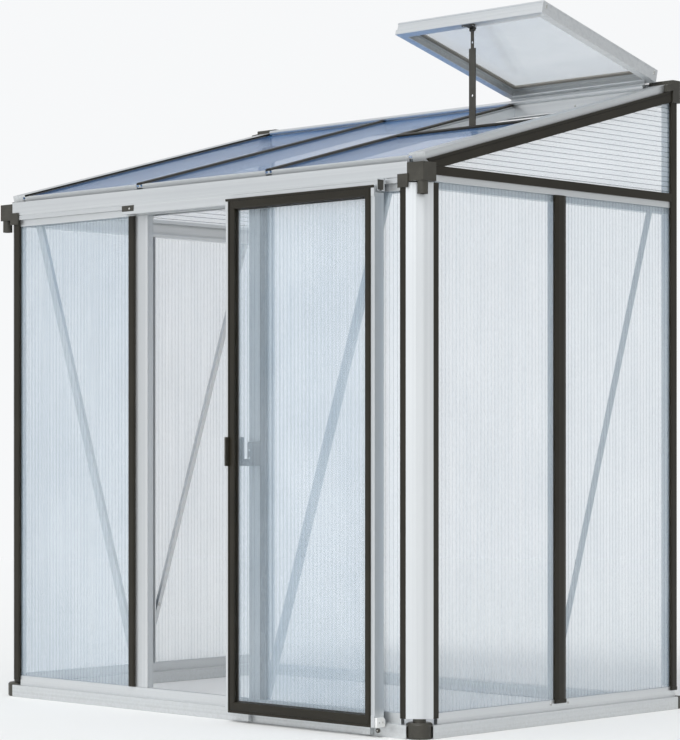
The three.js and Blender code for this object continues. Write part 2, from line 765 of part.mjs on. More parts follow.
function buildRidgeRail() {
  const back = wallPlane;
  const web = ridgeFront + wallThick;
  const front = ridgeTop - ridgeSlope;
  const channel = [
    [ridgeFront, ridgeLow], [ridgeFront, front], [back, ridgeTop], [back, ridgeLow],
    [back - ridgeLip, ridgeLow], [back - ridgeLip, ridgeLow + wallThick],
    [back - wallThick, ridgeLow + wallThick],
    [back - wallThick, ridgeTop - wallThick], [web, front - wallThick], [web, ridgeLow + wallThick],
    [web + ridgeLip, ridgeLow + wallThick], [web + ridgeLip, ridgeLow],
  ];
  return join(alongX(channel, -ridgeEnd, ridgeEnd), alongX(curlOutline(), -ridgeEnd, ridgeEnd));
}

// Curl that wraps round the vent's bead, open at the top
function curlOutline() {
  const inner = beadRadius + curlClearance;
  const outer = inner + wallThick;
  const start = THREE.MathUtils.degToRad(curlCloseDegrees);
  const end = THREE.MathUtils.degToRad(360 + curlOpenDegrees);
  const steps = roundSides;
  const arc = (radius) => Array.from({ length: steps + 1 }, (_, i) => {
    const angle = start + (end - start) * i / steps;
    return [hingePlace + radius * Math.cos(angle), hingeHeight + radius * Math.sin(angle)];
  });
  return [...arc(outer), ...arc(inner).reverse()];
}

// Cap over the ridge rail's end: a shell open towards the rail, with a nose down on the rake bar
function buildRidgeCap(side) {
  const outer = sidePlane + ridgeCapProud;
  const inner = outer - ridgeCapWidth;
  const front = wallPlane - ridgeCapDepth;
  const shell = sideBlock(side, inner, outer, front, wallPlane, ridgeCapLow, ridgeTop);
  const pocket = sideBlock(side, inner - overrun, outer - ridgeCapWall, front + ridgeCapWall,
    wallPlane - ridgeCapWall, ridgeCapLow + ridgeCapWall, ridgeTop - ridgeCapWall);
  const noseFront = front - ridgeCapNose;
  const lift = fit / Math.cos(pitch);
  const nose = sideAlongX(side, [
    [noseFront, underRoof(noseFront, rakeTop) + lift], [front + fit, underRoof(front + fit, rakeTop) + lift],
    [front + fit, roofTop(front) + ridgeCapNoseThick], [noseFront, roofTop(noseFront) + ridgeCapNoseThick],
  ], sidePlane - stripThick + fit, outer);
  return join(cut(shell, pocket), nose);
}

const pinY = ventFront + pinSetBack + wallThick / 2;
const pinZ = ventLift - pinDrop;
const pinPlace = hingePlace + pinY * Math.cos(ventOpen) + pinZ * Math.sin(ventOpen);
const pinHeight = hingeHeight - pinY * Math.sin(ventOpen) + pinZ * Math.cos(ventOpen);
const pegHeight = roofTop(sillRear) - pegDrop;
const pegHole = pinHeight - pegHeight;

// Cross bar, with the peg that the stay's last hole sits on
function buildVentSill() {
  const rear = (sillRear - eaveFront) / Math.cos(pitch);
  const outline = barOutline(roofCapWidth, roofCapThick, roofBarBody, sillDepth, sillChannel);
  const points = outline.map(([u, d]) => [rear - roofCapWidth / 2 + u, -d]);
  const left = baySpacing / 2 + roofCapWidth / 2 + fit;
  const right = sidePlane - slotNear - rafterFace - fit;
  const bar = alongX(points, left, right);
  const pegTip = pinPlace - stayThick / 2 - fit;
  const peg = circle(pegRadius, ventPlace, pegHeight);
  const tip = alongY(peg, sillRear - fit, pegTip).applyMatrix4(toRoof);
  return join(bar, tip);
}

const frontPanelLow = doorwayHalf + jambFace + jambWeb + fit;

// Places of a twin-wall sheet's tunnels across its width, between ribs
function tunnelsAcross(low, high) {
  const count = Math.floor((high - low - ribThick) / flutePitch);
  const start = (low + high - count * flutePitch) / 2;
  return Array.from({ length: count }, (_, i) => (
    [start + i * flutePitch + ribThick / 2, start + (i + 1) * flutePitch - ribThick / 2]));
}

// Sheet with its tunnels upright, in X, from near to far along Y
function uprightSheet(xLow, xHigh, near, zLow, zHigh) {
  const far = near + panelThick;
  const tunnels = tunnelsAcross(xLow, xHigh).map(([a, b]) => (
    block(a, b, near + skinThick, far - skinThick, zLow - overrun, zHigh + overrun)));
  return cut(block(xLow, xHigh, near, far, zLow, zHigh), ...tunnels);
}

function buildFrontPanel(side) {
  const outer = postEdge + slotDeep - fit;
  const [low, high] = side < 0 ? [-outer, -frontPanelLow] : [frontPanelLow, outer];
  return uprightSheet(low, high, frontPlane + slotNear + fit, panelBottom, headerLow + headerSlot - fit);
}

const sidePanelNear = sidePlane - slotNear - fit - panelThick;
const sidePanelFar = sidePlane - slotNear - fit;

function buildSidePanel(side, yLow, yHigh) {
  const top = railCapLow + railSlot - fit;
  const tunnels = tunnelsAcross(yLow, yHigh).map(([a, b]) => sideBlock(side, sidePanelNear + skinThick,
    sidePanelFar - skinThick, a, b, panelBottom - overrun, top + overrun));
  return cut(sideBlock(side, sidePanelNear, sidePanelFar, yLow, yHigh, panelBottom, top), ...tunnels);
}

function buildGablePanel(side) {
  const low = railCapHigh - railSlot + fit;
  const tip = frontPlane + gableTip;
  const rear = wallPlane - wallPostDepth + slotDeep - fit;
  const capFront = wallPlane - ridgeCapDepth - 2 * fit;
  const top = (y) => underRoof(y, rakeLow - rakeSlot + fit);
  const sheet = sideAlongX(side, [
    [tip, low], [rear, low], [rear, wallPostTop], [capFront, wallPostTop], [capFront, top(capFront)],
    [tip, top(tip)],
  ], sidePanelNear, sidePanelFar);
  const tunnels = tunnelsAcross(low, top(capFront)).map(([a, b]) => sideBlock(side, sidePanelNear + skinThick,
    sidePanelFar - skinThick, tip - overrun, rear + overrun, a, b));
  return cut(sheet, ...tunnels);
}

function buildRoofPanel(xLow, xHigh, length) {
  const top = roofCapThick + fit;
  const sheet = block(xLow, xHigh, 0, length, -top - panelThick, -top);
  return cut(sheet, ridgeSpace());
}

// Angle brace between two points of one wall: a flat leg against the wall and a rib along one edge
function braceGeometry(foot, top, near) {
  const run = new THREE.Vector2(top[0] - foot[0], top[1] - foot[1]);
  const length = run.length();
  const half = braceWidth / 2;
  const rib = half - braceThick;
  const outline = [
    [-half, 0], [half, 0], [half, braceThick + braceLeg], [rib, braceThick + braceLeg], [rib, braceThick],
    [-half, braceThick],
  ];
  const bar = alongZ(outline, -overrun * 2, length + overrun * 2);
  bar.rotateY(Math.atan2(run.x, run.y));
  return bar.translate(foot[0], near, foot[1]);
}

function buildFrontBrace(side) {
  const foot = [side * (doorwayHalf + frontBraceFootInset), baseHeight + frontBraceFootRise];
  const top = [side * (postEdge - frontBraceTopInset), headerLow + frontBraceTopRise];
  const bar = braceGeometry(foot, top, frontPlane + innerFace + wallThick);
  const room = sideBlock(side, doorwayHalf + jambFace + wallThick + fit, postEdge - fit,
    frontPlane, wallPlane, baseStep + fit, headerLow - fit);
  return keep(bar, room);
}

function buildSideBrace(side) {
  const foot = [side * (sideBarPlace + sideBraceFootInset), baseHeight + sideBraceFootRise];
  const top = [side * (wallPlane - sideBraceTopInset), headerLow - sideBraceTopDrop];
  const plane = sidePlane - innerFace - fit;
  const bar = braceGeometry(foot, top, 0).rotateZ(side * Math.PI / 2).translate(side * plane, 0, 0);
  const room = sideBlock(side, 0, sidePlane, sideBarPlace + sideBarBody / 2 + fit, wallPlane,
    baseHeight, railBodyLow - fit);
  return keep(bar, room);
}

// Track: a channel open downwards, stopped near its ends by plugs
function buildTrack() {
  const back = gutterFace - fit;
  const front = back - trackDepth;
  const middle = (front + back) / 2;
  const slotFront = middle - trackSlot / 2;
  const slotBack = middle + trackSlot / 2;
  const groove = trackHigh - trackGrooveDrop;
  const points = [
    [front, trackLow], [front, groove - trackGroove], [front + trackGroove, groove],
    [front, groove + trackGroove], [front, trackHigh], [back, trackHigh], [back, trackLow],
    [slotBack, trackLow],
    [slotBack, trackLow + wallThick], [back - wallThick, trackLow + wallThick],
    [back - wallThick, trackHigh - wallThick], [front + wallThick, trackHigh - wallThick],
    [front + wallThick, trackLow + wallThick], [slotFront, trackLow + wallThick], [slotFront, trackLow],
  ];
  const channel = alongX(points, trackLeft, trackRight);
  const skin = wallThick / 2;
  const plug = rectangle(front + skin, back - skin, trackLow + skin, trackHigh - skin);
  const leftPlug = trackLeft + trackPlugInset;
  const rightPlug = trackRight - trackPlugInset;
  return join(channel, alongX(plug, leftPlug, leftPlug + trackPlugThick),
    alongX(plug, rightPlug - trackPlugThick, rightPlug));
}

const doorFace = frontPlane - doorFront;
const doorBack = doorFace + doorDepth;

// Front of a door cap, from its outer to its inner edge: a rim, a groove, a face with a sloping edge
function capFront(outer, face) {
  const rim = outer + face * doorCapRimShare;
  const groove = rim + face * doorCapGrooveShare;
  const inner = outer + face;
  return [
    [outer, 0], [rim, 0], [rim, doorCapGroove], [groove, doorCapGroove], [groove, 0],
    [inner - face * doorCapBevelShare, 0], [inner, doorCapBevel],
  ];
}

// Door member in across and depth, from its outer edge: plain edge, cap, sheet slot, channel
function doorOutline(edge, face) {
  const inner = edge + face;
  const seat = doorCapThick + slotWide;
  const pocket = doorBezelThick + wallThick;
  const plainEdge = edge > 0 ? [[0, doorEdgeSet], [edge, doorEdgeSet]] : [];
  return [
    ...plainEdge, ...capFront(edge, face), [inner, doorCapThick], [doorWeb, doorCapThick], [doorWeb, seat],
    [inner - doorLip, seat], [inner - doorLip, seat + wallThick], [doorWeb, seat + wallThick],
    [doorWeb, doorDepth], [doorFoldBack, doorDepth], [doorFoldBack, doorDepth - wallThick],
    [doorWeb - wallThick, doorDepth - wallThick], [doorWeb - wallThick, pocket], [wallThick, pocket],
    [wallThick, doorDepth - wallThick], [doorEdge - wallThick, doorDepth - wallThick],
    [doorEdge - wallThick, doorDepth], [0, doorDepth],
  ];
}

const capInner = doorHalf - doorEdge - stileFace;
const capOuter = doorHalf - doorEdge;
const lowCorner = doorLow + bottomRailFace;
const highCorner = doorHigh - topRailFace;
const lipLow = doorHigh - topRailLip;
const lipCorner = capOuter - stileFace * topRailLip / topRailFace;

// Room that one member of the door keeps to, so that the caps meet in mitres
function memberSpace(points) {
  return alongY(points, doorFace - overrun, doorBack + overrun);
}

// Room of the track and the hangers behind the top rail's front
function trackSpace() {
  return block(-doorWidth, doorWidth, doorFace + doorBezelThick, doorBack + overrun,
    doorHigh - doorBezel, doorHigh + overrun);
}

// Stile: a silver edge beside its cap, covered at both ends by the cap's corner plates
function buildStile(side) {
  const outline = doorOutline(doorEdge, stileFace);
  const points = outline.map(([u, d]) => [side * (doorHalf - u), doorFace + d]);
  const space = mirror([
    [doorHalf, doorLow], [doorHalf, lipLow - fit], [lipCorner, lipLow - fit], [capInner, highCorner - fit],
    [capInner, lowCorner + fit], [capOuter, doorLow + fit],
  ], side);
  const plates = [[doorLow, lowCorner], [highCorner, doorHigh]].map(([low, high]) => (
    sideBlock(side, capOuter - doorEdgeSet, doorHalf, doorFace, doorFace + doorBezelThick, low, high)));
  const stile = join(alongZ(points, doorLow, doorHigh), ...plates);
  return cut(keep(stile, memberSpace(space)), trackSpace());
}

// Top rail: a front that covers the track, and a folded channel that the hangers sit on
function buildTopRail() {
  const seat = doorCapThick + slotWide;
  const ceiling = doorBezel + wallThick;
  const fold = doorBezel + doorEdge;
  const points = [
    ...capFront(0, topRailFace), [topRailFace, doorCapThick], [ceiling, doorCapThick], [ceiling, seat],
    [topRailFace, seat], [topRailFace, seat + wallThick], [ceiling, seat + wallThick],
    [ceiling, doorDepth - wallThick], [fold, doorDepth - wallThick], [fold, doorDepth], [doorBezel, doorDepth],
    [doorBezel, doorBezelThick], [0, doorBezelThick],
  ].map(([v, d]) => [doorFace + d, doorHigh - v]);
  const space = [
    [-doorHalf, doorHigh], [doorHalf, doorHigh], [doorHalf, lipLow], [lipCorner, lipLow],
    [capInner, highCorner], [capInner, doorLow], [-capInner, doorLow], [-capInner, highCorner],
    [-lipCorner, lipLow], [-doorHalf, lipLow],
  ];
  return keep(alongX(points, -doorHalf, doorHalf), memberSpace(space));
}

// Bottom rail, with a guide at each end that runs in front of the base rail
function buildBottomRail() {
  const points = doorOutline(0, bottomRailFace).map(([v, d]) => [doorFace + d, doorLow + v]);
  const space = [
    [-capOuter, doorLow], [capOuter, doorLow], [capInner, lowCorner], [-capInner, lowCorner],
  ];
  const rail = keep(alongX(points, -doorHalf, doorHalf), memberSpace(space));
  const guideOuter = capInner - guideInset;
  const guides = sides.map(([, side]) => sideBlock(side, guideOuter - guideWidth, guideOuter,
    doorBack - guideDepth, doorBack + guideProud, doorLow - guideDrop, doorLow + wallThick / 2));
  return join(rail, ...guides);
}

function buildDoorPanel() {
  const half = doorHalf - doorWeb - fit;
  return uprightSheet(-half, half, doorFace + doorCapThick + fit, doorLow + doorWeb + fit,
    doorHigh - doorBezel - wallThick - fit);
}

// Handle: a fin in front of the left stile, a wrap round its edge, and a plate with two holes behind
function buildHandle() {
  const edge = -doorHalf;
  const back = doorDepth + fit;
  const far = back + handleBack;
  const armStart = edge + doorEdge + stileFace;
  const plateStart = armStart + handleArmReach;
  const plateEnd = plateStart + handlePlate;
  const finEnd = handleFinPlace + handleFinThick;
  const outline = [
    [-handleReach, -fit], [handleFinPlace, -fit], [handleFinPlace, -handleProud], [finEnd, -handleProud],
    [finEnd, -fit], [doorEdge - fit, -fit], [doorEdge - fit, doorEdgeSet - fit], [-fit, doorEdgeSet - fit],
    [-fit, back], [plateEnd - edge, back], [plateEnd - edge, far], [-handleReach, far],
  ].map(([u, d]) => [edge + u, doorFace + d]);
  const low = handleLow + doorLow;
  const high = low + handleHeight;
  const aboveArm = block(armStart, plateStart, doorFace, doorBack + overrun, low + handleArm, high + overrun);
  const abovePlate = block(armStart, plateEnd + overrun, doorFace, doorBack + overrun,
    high - handlePlateDrop, high + overrun);
  const middle = (low + high - handlePlateDrop) / 2;
  const holeX = plateStart + handleHoleRadius * 2;
  const holes = [-1, 1].map((step) => alongY(
    circle(handleHoleRadius, holeX, middle + step * handleHoleSpacing / 2, roundSides / 2),
    doorBack - overrun, doorBack + overrun));
  return cut(alongZ(outline, low, high), aboveArm, abovePlate, ...holes);
}

const trackMiddle = gutterFace - fit - trackDepth / 2;
const rollerHeight = trackLow + wallThick + rollerRadius + fit;

// Hanger: a flange on the door's top rail and a plate up through the track's slot
function buildHanger(side) {
  const middle = side * hangerPlace;
  const half = hangerWidth / 2;
  const seat = doorHigh - doorBezel + fit;
  const flange = block(middle - half, middle + half,
    trackMiddle - hangerFlange / 2, trackMiddle + hangerFlange / 2, seat, seat + hangerThick);
  const plate = block(middle - half, middle + half,
    trackMiddle - hangerThick / 2, trackMiddle + hangerThick / 2, seat, hangerHigh);
  const bore = alongY(circle(axleRadius + axleClearance, middle, rollerHeight),
    trackMiddle - overrun, trackMiddle + overrun);
  return cut(join(flange, plate), bore);
}

// Roller: two wheels on one axle, one on each side of the hanger
function buildRoller(side) {
  const middle = side * hangerPlace;
  const inner = hangerThick / 2 + axleClearance * 2;
  const outer = inner + rollerWidth;
  const wheel = circle(rollerRadius, middle, rollerHeight);
  const axle = alongY(circle(axleRadius, middle, rollerHeight),
    trackMiddle - inner - fit, trackMiddle + inner + fit);
  const frontWheel = alongY(wheel, trackMiddle - outer, trackMiddle - inner);
  const backWheel = alongY(wheel, trackMiddle + inner, trackMiddle + outer);
  return join(axle, frontWheel, backWheel);
}

function ventSpace(inset, low, high) {
  return block(inset - ventHalf, ventHalf - inset, ventFront + inset, ventRear - inset,
    ventLift + low, ventLift + high);
}

// Vent frame: a mitred channel with a slot for the pane, and the bead that hangs it from the ridge
function buildVentFrame() {
  const paneTop = ventHeight - ventPaneDrop;
  const paneLow = paneTop - ventPaneThick - 2 * fit;
  const ring = cut(
    ventSpace(0, 0, ventHeight),
    ventSpace(ventRim, paneTop, ventHeight + overrun),
    ventSpace(ventWeb, paneLow, paneTop),
    ventSpace(ventRim, paneLow - wallThick, paneLow),
    ventSpace(wallThick, wallThick, paneLow - wallThick),
    ventSpace(ventFoot, -overrun, wallThick),
  );
  const beadEnd = ridgeEnd - ventPlace - fit;
  const neck = block(-ventHalf, beadEnd, -neckThick / 2, neckThick / 2, 0, ventLift + wallThick / 2);
  const bead = alongX(circle(beadRadius, 0, 0), -ventHalf, beadEnd);
  return join(ring, neck, bead);
}

function buildVentPane() {
  const top = ventHeight - ventPaneDrop - fit;
  return ventSpace(ventWeb + fit, top - ventPaneThick, top);
}

// Cross-shaped bracket under the vent's front bar, with two ears and the pin of the stay
function buildBracket() {
  const top = ventLift - fit;
  const low = top - bracketThick;
  const front = ventFront + wallThick;
  const across = block(-bracketWidth / 2, bracketWidth / 2, front + fit, front + bracketArm / 2, low, top);
  const spineHalf = bracketArm / 2 + earThick;
  const spine = block(-spineHalf, spineHalf, front + fit, pinY + earRadius, low, top);
  const earInner = linkWidth / 2 + 2 * fit;
  const ears = sides.map(([, side]) => sideAlongX(side, earOutline(top), earInner, earInner + earThick));
  const pinHalf = earInner + earThick / 2;
  const pin = alongX(circle(pinRadius, pinY, pinZ, roundSides / 2), -pinHalf, pinHalf);
  return join(across, spine, ...ears, pin);
}

function earOutline(top) {
  const arc = Array.from({ length: roundSides / 2 + 1 }, (_, i) => {
    const angle = Math.PI + Math.PI * i / (roundSides / 2);
    return [pinY + earRadius * Math.cos(angle), pinZ + earRadius * Math.sin(angle)];
  });
  return [...arc, [pinY + earRadius, top - fit], [pinY - earRadius, top - fit]];
}

// Stay: a knuckle on the bracket's pin, a narrow link, and a wide bar with peg holes
function buildStay() {
  const hole = circle(pinRadius + pinClearance, 0, 0, roundSides / 2);
  const knuckle = alongX(circle(knuckleRadius, 0, 0), -linkWidth / 2, linkWidth / 2);
  const front = -stayThick / 2;
  const link = block(-linkWidth / 2, linkWidth / 2, front, front + stayThick, -stayShoulder - overrun, 0);
  const stayLow = pegHole + stayTail;
  const bar = block(-stayWidth / 2, stayWidth / 2, front, front + stayThick, -stayLow, -stayShoulder);
  const holes = [stayHoleHigh, stayHoleMiddle, pegHole].map((drop) => alongY(
    circle(stayHoleRadius, 0, -drop, roundSides / 2), front - overrun, front + stayThick + overrun));
  return cut(join(knuckle, link, bar), alongX(hole, -stayWidth, stayWidth), ...holes);
}

const webSpace = webThick / 2 + fit;
const sidePanelStart = postEdgeY - slotDeep + fit;
const sidePanelEnd = wallPlane - wallPostDepth + slotDeep - fit;

buildBase();
for (const [name, side] of sides) {
  place(`corner_post_${name}`, buildCornerPost(side), silver);
  place(`door_jamb_${name}`, buildJamb(side), silver);
  place(`side_bar_${name}`, buildSideBar(side), bronze);
  place(`wall_post_${name}`, buildWallPost(side), bronze);
  place(`side_rail_${name}`, buildSideRail(side), bronze);
  place(`gutter_outlet_${name}`, buildOutlet(side), blackPlastic);
  place(`ridge_cap_${name}`, buildRidgeCap(side), blackPlastic);
  place(`rafter_${name}`, buildOuterRafter(side), silver, roof);
  place(`rafter_mid_${name}`, buildMiddleRafter(side), bronze, roof);
  place(`front_panel_${name}`, buildFrontPanel(side), twinWall);
  place(`side_panel_${name}_front`, buildSidePanel(side, sidePanelStart, sideBarPlace - webSpace), twinWall);
  place(`side_panel_${name}_rear`, buildSidePanel(side, sideBarPlace + webSpace, sidePanelEnd), twinWall);
  place(`gable_panel_${name}`, buildGablePanel(side), twinWall);
  place(`brace_front_${name}`, buildFrontBrace(side), silver);
  place(`brace_side_${name}`, buildSideBrace(side), silver);
}
place('front_header', buildHeader(), silver);
place('gutter', buildGutter(), silver);
place('ridge_rail', buildRidgeRail(), silver);
place('vent_sill', buildVentSill(), bronze, roof);
place('door_track', buildTrack(), silver);

const paneOuter = sidePlane - slotNear - rafterFace + slotDeep - fit;
const paneInner = baySpacing / 2 + webSpace;
const paneMiddle = baySpacing / 2 - webSpace;
const shortPane = (sillRear - eaveFront) / Math.cos(pitch) - roofCapWidth / 2 - webSpace;
place('roof_panel_left', buildRoofPanel(-paneOuter, -paneInner, roofLength), clearSheet, roof);
place('roof_panel_mid', buildRoofPanel(-paneMiddle, paneMiddle, roofLength), clearSheet, roof);
place('roof_panel_right', buildRoofPanel(paneInner, paneOuter, shortPane), clearSheet, roof);

place('door_stile_left', buildStile(-1), bronze, door);
place('door_stile_right', buildStile(1), bronze, door);
place('door_top_rail', buildTopRail(), bronze, door);
place('door_bottom_rail', buildBottomRail(), bronze, door);
place('door_panel', buildDoorPanel(), twinWall, door);
place('door_handle', buildHandle(), blackPlastic, door);
for (const [name, side] of sides) {
  place(`door_hanger_${name}`, buildHanger(side), silver, door);
  place(`door_roller_${name}`, buildRoller(side), whitePlastic, door);
}

place('vent_frame', buildVentFrame(), silver, vent);
place('vent_pane', buildVentPane(), clearSheet, vent);
place('vent_bracket', buildBracket(), blackPlastic, vent);
stay.position.set(0, pinY, pinZ);
stay.rotation.x = ventOpen;
place('vent_stay', buildStay(), blackPlastic, stay);

// The origin lies on the floor below the middle of the whole object
greenhouse.position.y = -(doorFace - handleProud + wallPlane) / 2;

export default greenhouse;
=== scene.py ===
import math
import bmesh
import bpy
from mathutils import Matrix, Vector


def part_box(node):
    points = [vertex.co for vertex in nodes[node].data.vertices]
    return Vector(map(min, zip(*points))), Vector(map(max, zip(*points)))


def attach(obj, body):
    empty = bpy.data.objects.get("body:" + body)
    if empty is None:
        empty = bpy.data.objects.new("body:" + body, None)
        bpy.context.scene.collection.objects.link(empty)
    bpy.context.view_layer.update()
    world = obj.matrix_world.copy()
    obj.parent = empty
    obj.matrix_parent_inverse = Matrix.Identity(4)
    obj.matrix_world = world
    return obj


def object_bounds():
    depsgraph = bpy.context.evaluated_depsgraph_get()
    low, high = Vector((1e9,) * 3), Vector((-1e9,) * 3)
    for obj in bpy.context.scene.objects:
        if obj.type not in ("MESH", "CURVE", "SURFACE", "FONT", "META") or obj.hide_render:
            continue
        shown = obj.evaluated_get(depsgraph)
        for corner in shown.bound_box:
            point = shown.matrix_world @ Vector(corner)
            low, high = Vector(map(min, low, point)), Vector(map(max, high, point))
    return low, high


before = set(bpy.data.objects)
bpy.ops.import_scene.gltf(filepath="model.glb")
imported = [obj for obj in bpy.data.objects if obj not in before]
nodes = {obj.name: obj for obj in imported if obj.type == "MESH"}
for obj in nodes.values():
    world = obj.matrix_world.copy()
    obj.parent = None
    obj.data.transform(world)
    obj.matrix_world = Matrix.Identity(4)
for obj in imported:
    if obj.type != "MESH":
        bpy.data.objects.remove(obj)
cadLow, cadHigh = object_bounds()
print("frame loaded with", len(nodes), "solids")

tiny = 0.0002
sides = (("left", -1), ("right", 1))

# places that several pieces share, taken from the solids
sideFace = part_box("side_bar_right")[1].x
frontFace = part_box("door_jamb_left")[0].y
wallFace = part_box("ridge_rail")[1].y
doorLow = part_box("door_stile_left")[0]
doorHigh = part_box("door_top_rail")[1]
trackLow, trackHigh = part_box("door_track")
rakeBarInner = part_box("rafter_right")[0].x
sideBarY = (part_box("side_bar_right")[0].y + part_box("side_bar_right")[1].y) / 2

# the roof's plane and the vent's hinge, as frames of their own
roofPlane = {"eaveZ": 1.7221, "pitch": math.radians(15.03)}
roofPlace = Matrix.Translation((0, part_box("rafter_mid_left")[0].y, roofPlane["eaveZ"]))
roofPlace = roofPlace @ Matrix.Rotation(roofPlane["pitch"], 4, "X")
ventPlane = {"place": (0.611, 0.5975, 2.0384), "open": math.radians(14.9)}
ventPlace = Matrix.Translation(ventPlane["place"]) @ Matrix.Rotation(-ventPlane["open"], 4, "X")


def roofDrop(point):   # how far a point lies squarely below the roof bars' top
    return -(roofPlace.inverted() @ point).z


# nodes shared by the finishes
def startMaterial(name):
    material = bpy.data.materials.new(name)
    material.use_nodes = True
    tree = material.node_tree
    return material, tree, tree.nodes["Principled BSDF"]


def placed(tree, size=(1, 1, 1), turn=(0, 0, 0)):   # object coordinates, in cells of this size in metres
    coords = tree.nodes.new("ShaderNodeTexCoord")
    mapping = tree.nodes.new("ShaderNodeMapping")
    mapping.vector_type = "TEXTURE"
    mapping.inputs["Rotation"].default_value = turn
    mapping.inputs["Scale"].default_value = size
    tree.links.new(coords.outputs["Object"], mapping.inputs["Vector"])
    return mapping.outputs["Vector"]


def noise(tree, vector, scale=1, detail=4, rough=0.6):
    node = tree.nodes.new("ShaderNodeTexNoise")
    node.inputs["Scale"].default_value = scale
    node.inputs["Detail"].default_value = detail
    node.inputs["Roughness"].default_value = rough
    tree.links.new(vector, node.inputs["Vector"])
    return node.outputs["Fac"]


def stretched(along, across, long):   # cells for a noise that is drawn out along one axis
    size = [across] * 3
    size["XYZ".index(along)] = long
    return size


def mapped(tree, value, low, high, toLow, toHigh):
    node = tree.nodes.new("ShaderNodeMapRange")
    for key, number in (("From Min", low), ("From Max", high), ("To Min", toLow), ("To Max", toHigh)):
        node.inputs[key].default_value = number
    tree.links.new(value, node.inputs["Value"])
    return node.outputs["Result"]


def maths(tree, operation, first, second):
    node = tree.nodes.new("ShaderNodeMath")
    node.operation = operation
    for place, value in enumerate((first, second)):
        if isinstance(value, (int, float)):
            node.inputs[place].default_value = value
        else:
            tree.links.new(value, node.inputs[place])
    return node.outputs["Value"]


def mixed(tree, factor, first, second):
    node = tree.nodes.new("ShaderNodeMix")
    node.data_type = "RGBA"
    for place, value in ((0, factor), (6, first), (7, second)):
        if isinstance(value, tuple):
            node.inputs[place].default_value = (*value, 1)
        else:
            tree.links.new(value, node.inputs[place])
    return node.outputs[2]


def spread(tree, value, look):   # roughness between the look's limits
    return mapped(tree, value, 0.3, 0.7, look["smoothest"], look["roughest"])


def reach(tree, axis):   # metres from the frame's origin along one axis
    split = tree.nodes.new("ShaderNodeSeparateXYZ")
    tree.links.new(placed(tree), split.inputs["Vector"])
    return split.outputs[axis]


def bumped(tree, shader, height, look):
    bump = tree.nodes.new("ShaderNodeBump")
    bump.inputs["Distance"].default_value = look["bump"]
    bump.inputs["Strength"].default_value = look["bumpStrength"]
    tree.links.new(height, bump.inputs["Height"])
    tree.links.new(bump.outputs["Normal"], shader.inputs["Normal"])


def blended(tree, factor, first, second, output):   # two shaders, joined into the tree's output
    blend = tree.nodes.new("ShaderNodeMixShader")
    for place, socket in enumerate((factor, first.outputs[0], second.outputs[0])):
        tree.links.new(socket, blend.inputs[place])
    tree.links.new(blend.outputs[0], tree.nodes[output].inputs["Surface"])


aluminiumLook = {
    "bright": (0.71, 0.73, 0.74),
    "dull": (0.60, 0.62, 0.635),
    "dust": (0.44, 0.43, 0.39),
    "metallic": 0.85,
    "roughest": 0.46,
    "smoothest": 0.30,
    "lineAcross": 0.0011,
    "lineLong": 0.6,
    "bump": 0.00004,
    "bumpStrength": 0.5,
    "bandAcross": 0.013,
    "bandLong": 4.0,
    "cloudScale": 2.5,
    "dustHeight": 0.07,
    "dustScale": 110,
    "dustShare": 0.4,
}


# mill finish with die lines along the bar, dusty near the floor
def fillAluminium(tree, shader, along, turn=(0, 0, 0), look=aluminiumLook):
    size = stretched(along, look["lineAcross"], look["lineLong"])
    lines = noise(tree, placed(tree, size, turn), detail=3)
    cloud = noise(tree, placed(tree), look["cloudScale"], detail=2, rough=0.4)
    base = mixed(tree, mapped(tree, cloud, 0.3, 0.7, 0, 0.3), look["bright"], look["dull"])
    base = mixed(tree, mapped(tree, lines, 0.5, 0.75, 0, 0.4), base, look["dull"])
    size = stretched(along, look["bandAcross"], look["bandLong"])
    bands = noise(tree, placed(tree, size, turn), detail=1, rough=0.5)
    base = mixed(tree, mapped(tree, bands, 0.45, 0.65, 0, 0.5), base, look["dull"])
    low = mapped(tree, reach(tree, "Z"), 0, look["dustHeight"], 1, 0)
    specks = noise(tree, placed(tree), look["dustScale"], rough=0.7)
    specks = mapped(tree, specks, 0.4, 0.8, 0, look["dustShare"])
    base = mixed(tree, maths(tree, "MULTIPLY", low, specks), base, look["dust"])
    tree.links.new(base, shader.inputs["Base Color"])
    tree.links.new(spread(tree, lines, look), shader.inputs["Roughness"])
    shader.inputs["Metallic"].default_value = look["metallic"]
    bumped(tree, shader, lines, look)


def aluminium(name, along, turn=(0, 0, 0)):
    material, tree, shader = startMaterial(name)
    fillAluminium(tree, shader, along, turn)
    return material


bronzeLook = {
    "colour": (0.0130, 0.0107, 0.0058),
    "worn": (0.024, 0.020, 0.0120),
    "dust": (0.070, 0.064, 0.050),
    "roughest": 0.40,
    "smoothest": 0.29,
    "specular": 0.31,
    "cloudScale": 7,
    "speckScale": 320,
    "speckShare": 0.35,
    "peelSize": 0.0022,
    "bump": 0.00006,
    "bumpStrength": 0.6,
}


def fillBronze(tree, shader, look=bronzeLook):   # powder coat with orange peel and a little dust
    peel = noise(tree, placed(tree, [look["peelSize"]] * 3), detail=3)
    cloud = noise(tree, placed(tree), look["cloudScale"])
    base = mixed(tree, mapped(tree, cloud, 0.4, 0.75, 0, 0.6), look["colour"], look["worn"])
    specks = noise(tree, placed(tree), look["speckScale"], detail=3, rough=0.7)
    base = mixed(tree, mapped(tree, specks, 0.62, 0.80, 0, look["speckShare"]), base, look["dust"])
    tree.links.new(base, shader.inputs["Base Color"])
    tree.links.new(spread(tree, cloud, look), shader.inputs["Roughness"])
    shader.inputs["Specular IOR Level"].default_value = look["specular"]
    bumped(tree, shader, peel, look)


def bronzePaint(name):
    material, tree, shader = startMaterial(name)
    fillBronze(tree, shader)
    return material


